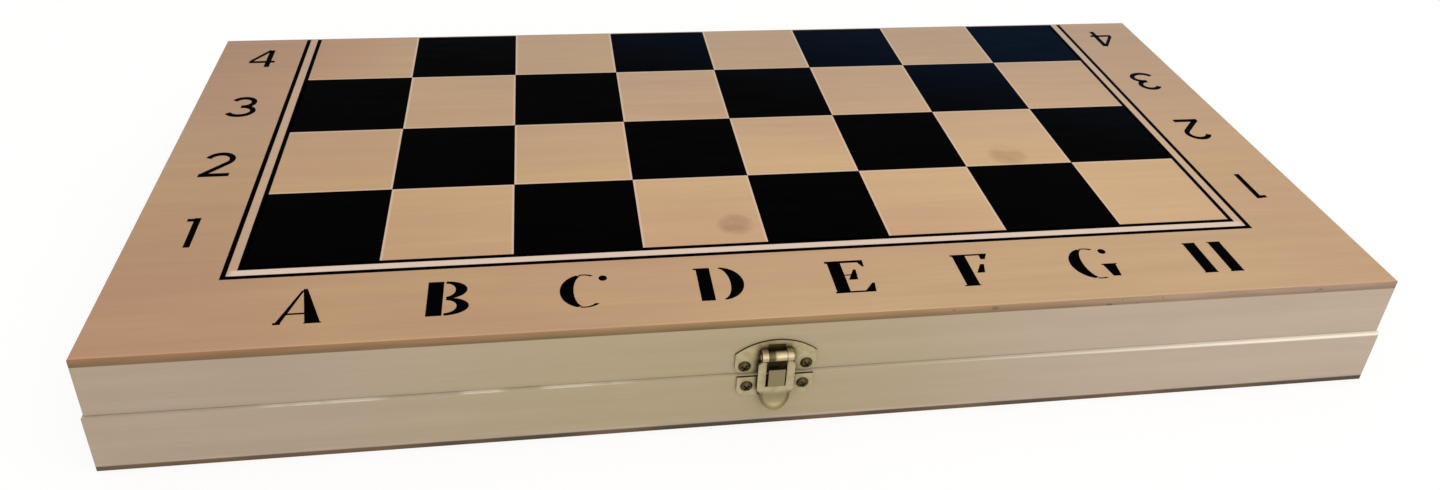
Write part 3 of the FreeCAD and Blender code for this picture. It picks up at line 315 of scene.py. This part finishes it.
def veneer_tones(finish, low, high):
    """Tan veneer, paler to the right and duller towards the fold, with honey and rosy patches."""
    # Paler to the right: partly the veneer's own tone, partly painted light
    colour = finish.blend(finish.ease(finish.x, low.x, 40 * MM), TAN_LEFT, TAN_RIGHT)
    colour = finish.blend(finish.ease(finish.y, -30 * MM, high.y) * 0.85, colour, TAN_FAR)
    rosy = finish.ease(finish.noise(ROSY_PATCHES, shift=(3.1, 0.4, 0.0)), 0.5, 0.72)
    colour = finish.blend(rosy * 0.35, colour, ROSY)
    honey = finish.ease(finish.noise(HONEY_PATCHES, shift=(9.7, 2.0, 0.0)), 0.48, 0.7)
    colour = finish.blend(honey * 0.3, colour, HONEY)
    left_end = near(finish, finish.x, finish.y, low.x + 12 * MM, low.y + 5 * MM, 48 * MM)
    left_end = left_end + near(finish, finish.x, finish.y, low.x + 8 * MM, high.y - 8 * MM, 60 * MM)
    colour = finish.blend(left_end * 0.42, colour, ROSY)
    return finish.blend(finish.ease(finish.x, 110 * MM, high.x) * 0.16, colour, ROSY)


def smudged(finish, colour):
    """Reddish brown smudges, a little mottled."""
    painted_shades = sum(near(finish, finish.x, finish.y, *place) * strength for *place, strength in SMUDGES)
    mottle = finish.ease(finish.noise(SMUDGE_MOTTLE, shift=(2.0, 7.0, 0.0)), 0.1, 0.6)
    return finish.blend(painted_shades * mottle * 0.5, colour, SMUDGE)


def pale_lines(finish, colour, board, grid_front):
    """Pale rims along the squares, and a pale gap between the frame's two lines, most of all in front."""
    rims = finish.greatest(
        stripes(finish, finish.x, SQUARE, 0.0, RIM_WIDTH),
        stripes(finish, finish.y, SQUARE, grid_front, RIM_WIDTH),
    )
    colour = finish.blend(rims * board * 0.45, colour, PALE_LINE)
    sides = finish.ease(abs(abs(finish.x) - (BOARD_HALF + LINE_SPACING / 2)), GAP_GONE, GAP_FULL)
    sides = sides * finish.ease(finish.y, grid_front - 4 * MM, grid_front)
    front = finish.ease(abs(finish.y - (grid_front - LINE_SPACING / 2)), GAP_GONE, GAP_FULL)
    front = front * finish.ease(abs(finish.x), BOARD_HALF + 4 * MM, BOARD_HALF + 1 * MM)
    return finish.blend(finish.greatest(sides * 0.2, front * 0.85), colour, PALE_LINE)


def veneer_face(finish, half, streaks, pores):
    """A panel's outer face: painted light on the board towards the front, painted shade at the far left."""
    low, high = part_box(f"{half}_panel")
    grid_front = low.y + FRONT_MARGIN
    board = finish.ease(abs(finish.x), BOARD_HALF + BOARD_BLUR, BOARD_HALF - BOARD_BLUR)
    board = board * finish.ease(finish.y, grid_front - 0.5 * MM, grid_front)
    painted_light_pool = finish.ease(finish.y, high.y, grid_front) * board
    painted_falloff = finish.ease(finish.x, -110 * MM, low.x) * finish.ease(finish.y, 10 * MM, high.y)
    change = (streaks - 0.5) * 0.22 + (pores - 0.5) * 0.1 + painted_light_pool * 0.12 - painted_falloff * 0.16
    colour = finish.shade(veneer_tones(finish, low, high), change)
    if half == "upper":
        colour = smudged(finish, colour)
    return pale_lines(finish, colour, board, grid_front)


def veneer_edge(finish, half):
    """A panel's sawn edge. The upper is brown and darker low down, and the lower dark only at its foot."""
    low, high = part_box(f"{half}_panel")
    fibres = finish.noise(EDGE_FIBRES, detail=3.0)
    patches = finish.noise(EDGE_PATCHES)
    if half == "upper":
        colour = finish.blend(finish.ease(finish.x, -140 * MM, -20 * MM), EDGE_OLIVE, EDGE_RED)
        colour = finish.blend(finish.ease(finish.x, 20 * MM, 130 * MM), colour, EDGE_MAUVE)
        foot = finish.ease(finish.z, low.z + 2.2 * MM, low.z + 0.2 * MM)
        foot = foot * (0.85 - finish.ease(finish.x, 0.0, 130 * MM) * 0.4)
        colour = finish.blend(foot, colour, EDGE_LOW)
        nicks = finish.ease(finish.noise(EDGE_NICKS, shift=(0.3, 0.0, 4.0)), 0.66, 0.72)
        nicks = nicks * finish.ease(finish.x, -50 * MM, 120 * MM)
        colour = finish.blend(nicks * 0.8, colour, EDGE_NICK)
    else:
        # The lower panel's edge: painted shade at its foot, rail-coloured above
        foot = finish.ease(finish.z, low.z + 2.0 * MM, low.z + 1.5 * MM)
        rail = finish.blend(finish.ease(finish.x, low.x, high.x), RAIL_LEFT, RAIL_RIGHT)
        dark = finish.blend(finish.ease(patches, 0.42, 0.6), EDGE_FOOT_SHADE, EDGE_FOOT_SHADE_BROWN)
        colour = finish.blend(foot, rail, dark)
    return finish.shade(colour, (fibres - 0.5) * 0.5 + (patches - 0.5) * 0.5)


def board_veneer(name, half):
    """A board panel: printed veneer outside, its sawn edge, and plain wood inside."""
    finish = Finish(name)
    streaks = finish.noise(VENEER_GRAIN, detail=3.0)
    pores = finish.noise(VENEER_PORES)
    side = finish.ease(abs(finish.facing[2]), 0.75, 0.45)
    colour = finish.blend(side, veneer_face(finish, half, streaks, pores), veneer_edge(finish, half))
    inwards = -1.0 if half == "upper" else 1.0
    indoors = finish.ease(finish.facing[2] * inwards, 0.5, 0.8)
    colour = finish.blend(indoors, colour, finish.shade(PLY_INSIDE, (streaks - 0.5) * 0.35))
    finish.bump(streaks * 0.6 + pores * 0.4, VENEER_RELIEF, 0.35)
    rough = 0.5 + (streaks - 0.5) * 0.15
    return finish.finished(base_color=colour, roughness=rough, specular_IOR_level=0.25)


def rail_wood(name, along):
    """Pale raw wood with faint straight grain along a rail, and darker end grain."""
    finish = Finish(name)
    streaks = finish.noise(RAIL_GRAIN[along], detail=3.0)
    pores = finish.noise(RAIL_PORES[along])
    # Paler to the right: partly the wood's own tone, partly painted light
    colour = finish.blend(finish.ease(finish.x, -170 * MM, 170 * MM), RAIL_LEFT, RAIL_RIGHT)
    olive = 1.0 - finish.ease(abs(finish.x + 20 * MM), 20 * MM, 110 * MM)
    colour = finish.blend(olive * 0.8, colour, RAIL_OLIVE)
    cloud = finish.ease(finish.noise(RAIL_CLOUDS, shift=(1.7, 5.0, 0.3)), 0.5, 0.75)
    colour = finish.blend(cloud * 0.18, colour, RAIL_STREAK)
    colour = finish.shade(colour, (streaks - 0.5) * 0.16 + (pores - 0.5) * 0.08)
    ends = finish.ease(abs(finish.facing["xy".index(along)]), 0.6, 0.8)
    rings = finish.noise(RAIL_RINGS, detail=3.0)
    colour = finish.blend(ends * 0.7, colour, finish.shade(RAIL_END, rings - 0.5))
    if along == "x":
        # A painted highlight along the lower front rail's top edge
        colour = finish.blend(ledge_highlight(finish), colour, LEDGE_HIGHLIGHT)
        # Painted shade where the latch's slot shows the wood
        colour = finish.blend(latch_slot_shade(finish), colour, TARNISH_AND_SHADE)
    finish.bump(streaks * 0.6 + pores * 0.4, RAIL_RELIEF, 0.3)
    return finish.finished(base_color=colour, roughness=0.62, specular_IOR_level=0.2)


def ledge_highlight(finish):
    """Painted highlight on the lower front rail's top: in dashes at the left, and broader to the right."""
    low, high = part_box("lower_front_rail")
    highlight_spread = finish.ease(finish.x, 0.0, 160 * MM)
    drop = (high.z - finish.z) / (highlight_spread * 0.9 * MM + 0.3 * MM)
    strip = finish.ease(drop, 1.0, 0.5) * finish.ease(finish.z, high.z + 0.1 * MM, high.z)
    strip = strip * finish.ease(finish.facing[1], 0.2, -0.2)
    ledge = finish.ease(finish.facing[2], 0.6, 0.9)
    ledge = ledge * finish.ease(finish.y, low.y + 2.2 * MM, low.y + 0.9 * MM)
    left = finish.ease(finish.x, -140 * MM, -120 * MM) * finish.ease(finish.x, -35 * MM, -50 * MM)
    dashes = finish.ease(finish.noise(LEDGE_DASHES, shift=(0.0, 0.4, 0.9)), 0.42, 0.58) * left * 0.5
    share = finish.greatest(dashes, highlight_spread)
    return finish.greatest(strip * share, ledge * (0.2 + share * 0.8))


def latch_slot_shade(finish):
    """Painted shade on the wood that shows through the slot in the latch's upper plate."""
    low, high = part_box("latch_pin")
    across = (finish.x - (low.x + high.x) / 2) * 0.6
    gap = near(finish, across, finish.z, 0.0, high.z + 0.8 * MM, 2.3 * MM)
    return gap * finish.ease(finish.y, -40 * MM, -80 * MM) * 0.95


def printed_ink():
    """Matt black ink, with a painted bluish reflection towards the far right of the board."""
    finish = Finish("printed_ink")
    painted_reflection = finish.ease(finish.x * 0.35 + finish.y, 30 * MM, 120 * MM)
    colour = finish.blend(painted_reflection, INK, INK_REFLECTION_BLUE)
    wear = finish.noise(INK_WEAR, detail=3.0)
    rough = 0.55 + (wear - 0.5) * 0.3
    return finish.finished(base_color=colour, roughness=rough, specular_IOR_level=0.004)


def worn_brass(name, plate=BRASS, worn=BRASS_WARM, painted_shades=None):
    """Thin plated brass gone dull, black in its corners from tarnish and painted shade. Its last argument
    gives where painted shade makes it olive, brown and black.
    """
    finish = Finish(name)
    blotches = finish.noise(BRASS_BLOTCHES, detail=4.0)
    colour = finish.blend(finish.ease(blotches, 0.35, 0.7) * 0.7, plate, worn)
    # Painted shade in olive, brown and near black
    if painted_shades:
        for share, shade_colour in zip(painted_shades(finish), (BRASS_SHADE_OLIVE, BRASS_RIM_SHADE, TARNISH_AND_SHADE)):
            colour = finish.blend(share, colour, shade_colour)
    # Tarnish in the corners, deepened into painted shade
    corner = {"Distance": CORNER_REACH}
    open_sky = finish.node("ShaderNodeAmbientOcclusion", {"samples": 8}, corner, output="AO")
    tarnish_and_shade = 1.0 - finish.ease(open_sky, 0.45, 0.95)
    colour = finish.blend(tarnish_and_shade * 0.95, colour, TARNISH_AND_SHADE)
    finish.bump(finish.noise(BRASS_SCRATCHES), BRASS_RELIEF, 0.3)
    rough = 0.34 + blotches * 0.15 + tarnish_and_shade * 0.3
    return finish.finished(base_color=colour, metallic=1.0, roughness=rough)


def hasp_painted_shade(finish):
    """Painted shade: the hasp's tab olive and brown round its rim, its curl black beneath and at the left.
    """
    low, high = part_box("latch_hasp")
    across = abs(finish.x - (low.x + high.x) / 2)
    up = finish.z - low.z
    tab_middle = 4 * MM
    radius = (across ** 2.0 + (up - tab_middle) ** 2.0) ** 0.5
    tab = finish.ease(up, 6 * MM, 4 * MM)
    rim = tab * finish.ease(radius, 2.7 * MM, 3.6 * MM) * 0.85
    axis = sum(corner.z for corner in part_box("latch_pin")) / 2
    crease = finish.ease(finish.z, axis - 0.1 * MM, axis - 0.9 * MM)
    crease = crease * finish.ease(finish.z, axis - 3.2 * MM, axis - 2.8 * MM)
    crease = crease * finish.ease(across, 3.2 * MM, 2.4 * MM)
    left = finish.ease(finish.x, low.x + 4.6 * MM, low.x + 3.8 * MM)
    left = left * finish.ease(finish.z, axis - 1.4 * MM, axis - 0.8 * MM)
    return tab * 0.8, rim, finish.greatest(crease, left * 0.8)


def hook_painted_shade(finish):
    """Painted shade: the hook that stands out of the lower plate is olive."""
    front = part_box("latch_lower_plate")[1].y
    return (finish.ease(finish.y, front - 1.2 * MM, front - 1.8 * MM),)


def turned_wood(name, pale, dark):
    """Lacquered chessman's wood, with its grain along the chessman."""
    finish = Finish(name)
    own = finish.node("ShaderNodeObjectInfo", output="Random") * 40.0
    shift = finish.node("ShaderNodeCombineXYZ", inputs={"X": own, "Y": own * 0.7, "Z": own})
    grain = finish.noise(TURNED_GRAIN, detail=4.0, shift=shift)
    pores = finish.noise(TURNED_PORES, shift=shift)
    colour = finish.blend(finish.ease(grain, 0.35, 0.68), pale, dark)
    colour = finish.shade(colour, (pores - 0.5) * 0.25)
    finish.bump(grain * 0.7 + pores * 0.3, TURNED_RELIEF, 0.25)
    rough = 0.32 + (grain - 0.5) * 0.12
    return finish.finished(base_color=colour, roughness=rough, coat_weight=0.35, coat_roughness=0.18)


def dress_frame():
    """Gives every piece of the frame its finish."""
    rails = {"x": rail_wood("rail_wood_long", "x"), "y": rail_wood("rail_wood_short", "y")}
    metals = {
        "latch_hasp": worn_brass("hasp_brass", painted_shades=hasp_painted_shade),
        "latch_lower_plate": worn_brass("keeper_brass", painted_shades=hook_painted_shade),
        "latch_upper_plate": worn_brass("fan_brass"),
    }
    screws = worn_brass("screw_brass", SCREW_BROWN, SCREW_BROWN)
    hinges = worn_brass("hinge_brass", BRASS_WARM, BRASS)
    woods = {
        "white": turned_wood("boxwood", BOXWOOD, BOXWOOD_DARK),
        "black": turned_wood("ebonised_wood", EBONY, EBONY_RED),
    }
    for name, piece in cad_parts.items():
        words = name.split("_")
        if words[-1] == "panel":
            material = board_veneer(f"{words[0]}_veneer", words[0])
        elif words[-1] == "rail":
            material = rails["x" if words[1] in ("front", "back") else "y"]
        elif words[0] in woods:
            material = woods[words[0]]
        elif words[-1] == "screws":
            material = screws
        else:
            material = metals.get(name, hinges)
        piece.data.materials.clear()
        piece.data.materials.append(material)


# Printed shapes. Each is a pair of rows of points, its two sides, in the same order.


def slab(left, right, low, high):
    """An upright rectangle."""
    return [(left, low), (left, high)], [(right, low), (right, high)]


def slope(foot, head, foot_width, head_width):
    """A sloping stroke between level ends of different widths."""
    left = [(foot[0] - foot_width / 2, foot[1]), (head[0] - head_width / 2, head[1])]
    right = [(foot[0] + foot_width / 2, foot[1]), (head[0] + head_width / 2, head[1])]
    return left, right


def arc(middle, radii, start, end):
    """Points round part of an ellipse, between two angles in degrees."""
    steps = max(2, round(abs(end - start) / ARC_STEP))
    angles = [math.radians(start + (end - start) * step / steps) for step in range(steps + 1)]
    return [(middle[0] + radii[0] * math.cos(a), middle[1] + radii[1] * math.sin(a)) for a in angles]


def sickle(middle, radii, belly, start, end, thin=HAIR):
    """A curved stroke that is thin at top and bottom and full at its side."""
    return arc(middle, radii, start, end), arc(middle, (radii[0] - belly, radii[1] - thin), start, end)


def dot(middle):
    """A round dot, as two arcs that all but meet."""
    return arc(middle, (DOT, DOT), 175, 5), arc(middle, (DOT, DOT), 185, 355)


def pen(points, width=PEN):
    """A stroke of even width along points."""
    sides = [], []
    for index, point in enumerate(points):
        before = Vector(points[max(index - 1, 0)])
        after = Vector(points[min(index + 1, len(points) - 1)])
        run = (after - before).normalized()
        for side, sign in zip(sides, (1, -1)):
            side.append((point[0] - sign * run.y * width / 2, point[1] + sign * run.x * width / 2))
    return sides


def make_letters():
    """Stencil letters: fat stems and bellies, hairline joins and small dots, with gaps between."""
    top = TALL / 2
    low = -top
    serif = low + HAIR
    return {
        "A": [
            slope((4.0, low), (0.4, top), 3.7, 1.0),
            slope((-4.4, low), (-0.1, top - 0.6), 1.3, 0.6),
            slab(-3.0, 1.5, -3.2, -2.6),
            slab(-5.3, -3.5, low, low + 0.8),
            slab(1.9, 6.0, low, serif),
        ],
        "B": [
            slab(-4.3, -0.4, low, top),
            sickle((0.1, 3.2), (5.4, top - 3.2), 2.9, 90, -86, 0.9),
            sickle((0.1, -3.3), (6.0, top - 3.3), 3.0, 86, -90, 0.9),
        ],
        "C": [
            sickle((0.0, 0), (6.2, top), 3.5, 108, 252),
            sickle((0.0, 0), (6.2, top), 1.6, 66, 102),
            sickle((0.0, 0), (6.2, top), 1.6, 258, 306),
            dot((5.0, 4.8)),
        ],
        "D": [
            slab(-5.3, -5.3 + STEM, low, top),
            slab(-6.0, -5.3, top - 0.6, top),
            sickle((0.3, 0), (6.3, top), 3.5, 84, -84),
        ],
        "E": [
            slab(-4.6, -4.6 + STEM, low, top),
            slab(-5.2, 4.6, top - 0.9, top),
            slope((4.9, top - 2.8), (4.3, top), 0.5, 2.0),
            slab(-1.2, 1.6, 0.4, 0.4 + HAIR),
            slope((1.0, -1.4), (2.2, 2.8), 2.5, 0.7),
            slab(-5.0, 5.2, low, low + 0.6),
            slope((4.2, low), (5.9, low + 3.6), 3.1, 0.7),
        ],
        "F": [
            slab(-4.2, -4.2 + STEM, low, top),
            slab(-4.8, 4.4, top - 0.6, top),
            slope((4.0, top - 2.4), (4.6, top), 1.2, 2.4),
            slope((1.5, -1.4), (3.0, 2.2), 2.2, 1.1),
            slab(-4.8, -0.4, low, serif),
        ],
        "G": [
            sickle((-0.9, 0), (6.3, top), 3.6, 108, 252),
            sickle((-0.9, 0), (6.3, top), 1.8, 66, 102),
            sickle((-0.9, 0), (6.3, top), 1.8, 258, 286),
            dot((4.1, 5.0)),
            slope((3.8, low + 0.9), (3.6, -0.5), 2.2, STEM + 0.2),
            slab(1.4, 5.9, -0.9, -0.5),
        ],
        "H": [
            slab(-5.6, -5.6 + STEM, low, top),
            slab(2.1, 2.1 + STEM, low, top),
            *[slab(side - 2.0, side + 2.0, level, level + HAIR)
              for side in (-3.9, 3.8) for level in (low, top - HAIR)],
        ],
    }


def make_numerals():
    """Numerals drawn with one even pen."""
    top = TALL / 2 - PEN / 2
    low = -top
    return {
        "1": [pen([(0.9, low - PEN / 2), (0.9, top + PEN / 2)]), pen([(-1.7, top), (0.9, top)], 1.3)],
        "2": [pen(arc((0, 2.6), (3.5, 3.1), 165, -42) + [(-3.6, low)]), pen([(-4.3, low), (4.2, low)])],
        "3": [
            pen(arc((-0.3, 2.9), (3.2, 2.8), 155, -95)),
            pen(arc((-0.3, -2.75), (3.8, 2.9), 95, -160)),
        ],
        "4": [
            pen([(1.9, low - PEN / 2), (1.9, top)]),
            pen([(1.5, top), (-3.9, -2.4)], 1.2),
            pen([(-4.3, -2.9), (4.0, -2.9)], 1.4),
        ],
        "5": [
            pen([(3.4, top), (-2.9, top)]),
            pen([(-2.6, top), (-3.0, 0.6)]),
            pen(arc((-0.4, -2.2), (3.9, 3.5), 135, -150)),
        ],
        "6": [
            pen(arc((0, -2.3), (3.6, 3.4), 0, 355)),
            pen(arc((2.6, -2.0), (6.2, 7.6), 180, 112)),
        ],
        "7": [pen([(-3.8, top), (3.8, top)]), pen([(3.6, top), (-1.2, low - PEN / 2)])],
        "8": [
            pen(arc((0, 3.0), (3.1, 2.6), 0, 355)),
            pen(arc((0, -2.7), (3.8, 2.9), 0, 355)),
        ],
    }


class BoardFace:
    """One half's outer face, seen square on. Places on it are across from its middle and up from its front
    edge to the fold."""

    def __init__(self, half):
        low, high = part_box(f"{half}_panel")
        self.half = half
        self.depth = high.y - low.y
        self.half_length = high.x
        self.front = low.y
        # The lower half's face is seen from below, so its right is the case's left
        self.side = 1 if half == "upper" else -1
        self.level = high.z if half == "upper" else low.z
        self.files = "ABCDEFGH"[:: self.side]
        self.ranks = "1234" if half == "upper" else "8765"

    def point(self, place, height):
        """A place on the face, at a height above it, in the case's own frame."""
        return (self.side * place[0], self.front + place[1], self.level + self.side * height)

    def print_shapes(self, name, shapes, material):
        """Prints shapes as one thin layer of ink."""
        layer = bmesh.new()
        for rows in shapes:
            add_prism(layer, [[self.point(p, -INK_SUNK) for p in row] for row in rows],
                      [[self.point(p, INK_HEIGHT) for p in row] for row in rows])
        bmesh.ops.recalc_face_normals(layer, faces=layer.faces)
        mesh = bpy.data.meshes.new(f"{self.half}_{name}")
        layer.to_mesh(mesh)
        layer.free()
        piece = bpy.data.objects.new(f"{self.half}_{name}", mesh)
        bpy.context.scene.collection.objects.link(piece)
        mesh.materials.append(material)
        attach(piece, "lid" if self.half == "upper" else "lower_half")


def add_prism(layer, below, above):
    """Adds a closed solid between two rows of points below and the same two rows above."""
    corners = [[[layer.verts.new(p) for p in row] for row in rows] for rows in (below, above)]
    (low_left, low_right), (high_left, high_right) = corners
    ends = len(low_left) - 1
    for here in range(ends):
        there = here + 1
        layer.faces.new((high_left[here], high_right[here], high_right[there], high_left[there]))
        layer.faces.new((low_left[here], low_left[there], low_right[there], low_right[here]))
        layer.faces.new((low_left[here], high_left[here], high_left[there], low_left[there]))
        layer.faces.new((low_right[here], low_right[there], high_right[there], high_right[here]))
    for end in (0, ends):
        layer.faces.new((low_left[end], low_right[end], high_right[end], high_left[end]))


def set_out(shapes, across, up, turned=False):
    """Moves shapes drawn in millimetres to a place on a board face, turned half round if they are to be."""
    scale = -MM if turned else MM
    return [[[(across + scale * x, up + scale * y) for x, y in row] for row in rows] for rows in shapes]


def chess_squares(face):
    """The black squares, with one in the left corner. The last row runs to the fold."""
    squares = []
    for row in range(ROWS):
        low = FRONT_MARGIN + row * SQUARE
        high = min(low + SQUARE, face.depth - FOLD_ROUNDING)
        for column in range(row % 2, FILES, 2):
            left = (column - FILES / 2) * SQUARE
            squares.append(slab(left, left + SQUARE, low, high))
    return squares


def frame_lines(face):
    """Two thin lines round three sides of the squares, open at the fold."""
    fold = face.depth - FOLD_ROUNDING
    lines = []
    for middle in (0.0, LINE_SPACING):
        rows = []
        for reach in (middle - LINE_WIDTH / 2, middle + LINE_WIDTH / 2):
            edge = BOARD_HALF + reach
            front = FRONT_MARGIN - reach
            rows.append([(-edge, fold), (-edge, front), (edge, front), (edge, fold)])
        lines.append(rows)
    return lines


def coordinates(face, letters, numerals):
    """Letters under the files, and numerals beside the ranks, upright at the left and turned round at the
    right."""
    shapes = []
    for column, letter in enumerate(face.files):
        across = column * LETTER_PITCH - (FILES - 1) / 2 * SQUARE
        shapes += set_out(letters[letter], across, LETTER_MIDDLE)
    for row, numeral in enumerate(face.ranks):
        up = FRONT_MARGIN + (row + 0.5) * SQUARE
        across = face.half_length - NUMERAL_INSET
        shapes += set_out(numerals[numeral], -across, up)
        shapes += set_out(numerals[numeral], across, up, turned=True)
    return shapes


def print_boards():
    """Prints the half board on each outer face."""
    ink = printed_ink()
    letters = make_letters()
    numerals = make_numerals()
    for half in ("upper", "lower"):
        face = BoardFace(half)
        face.print_shapes("squares", chess_squares(face), ink)
        face.print_shapes("frame_lines", frame_lines(face), ink)
        face.print_shapes("coordinates", coordinates(face, letters, numerals), ink)


# Studio


def make_camera():
    """The photograph's view, from in front and above, a little to the left."""
    data = bpy.data.cameras.new("camera")
    data.lens = CAMERA_LENS
    data.shift_x, data.shift_y = CAMERA_SHIFT
    data.clip_start = CAMERA_NEAR
    camera = bpy.data.objects.new("camera", data)
    camera.location = CAMERA_EYE
    camera.rotation_mode = "QUATERNION"
    roll = Quaternion((0, 0, 1), math.radians(CAMERA_ROLL))
    camera.rotation_quaternion = Vector(CAMERA_FORWARD).to_track_quat("-Z", "Y") @ roll
    bpy.context.scene.collection.objects.link(camera)
    bpy.context.scene.camera = camera


def make_floor():
    """A plain white floor that keeps a soft shadow."""
    data = bpy.data.meshes.new("floor")
    signs = ((-1, -1), (1, -1), (1, 1), (-1, 1))
    corners = [(x * FLOOR_REACH, y * FLOOR_REACH, -FLOOR_DROP) for x, y in signs]
    data.from_pydata(corners, [], [(0, 1, 2, 3)])
    floor = bpy.data.objects.new("floor", data)
    bpy.context.scene.collection.objects.link(floor)
    material = bpy.data.materials.new("white_floor")
    nodes = Nodes(material)
    nodes.tree.nodes.clear()
    plain = nodes.node("ShaderNodeBsdfDiffuse", inputs={"Color": FLOOR_WHITE})
    glow = nodes.node("ShaderNodeEmission", inputs={"Color": (1, 1, 1), "Strength": FLOOR_GLOW})
    mixed = nodes.mixed(nodes.seen_rays() * FLOOR_GLOW_SHARE, plain, glow)
    nodes.node("ShaderNodeOutputMaterial", inputs={"Surface": mixed}, output=None)
    data.materials.append(material)


def make_world():
    """Soft light from all round, with white behind everything."""
    world = bpy.data.worlds.new("studio")
    bpy.context.scene.world = world
    nodes = Nodes(world)
    nodes.tree.nodes.clear()
    lighting = nodes.node("ShaderNodeBackground", inputs={"Color": SKY_COLOUR, "Strength": SKY_STRENGTH})
    white = nodes.node("ShaderNodeBackground", inputs={"Color": (1, 1, 1)})
    mixed = nodes.mixed(nodes.seen_rays(), lighting, white)
    nodes.node("ShaderNodeOutputWorld", inputs={"Surface": mixed}, output=None)


def make_lamp(name, place, size, power, colour):
    """A soft square lamp that faces the case."""
    data = bpy.data.lights.new(name, "AREA")
    data.size = size
    data.energy = power
    data.color = colour
    lamp = bpy.data.objects.new(name, data)
    lamp.location = place
    lamp.rotation_mode = "QUATERNION"
    lamp.rotation_quaternion = (-Vector(place)).to_track_quat("-Z", "Y")
    bpy.context.scene.collection.objects.link(lamp)


def make_studio():
    """Camera, floor, world, lamps and plain colour handling."""
    make_camera()
    make_floor()
    make_world()
    for name, lamp in LAMPS.items():
        make_lamp(name, *lamp)
    bpy.context.scene.view_settings.view_transform = "Standard"


dress_frame()
print_boards()
make_studio()
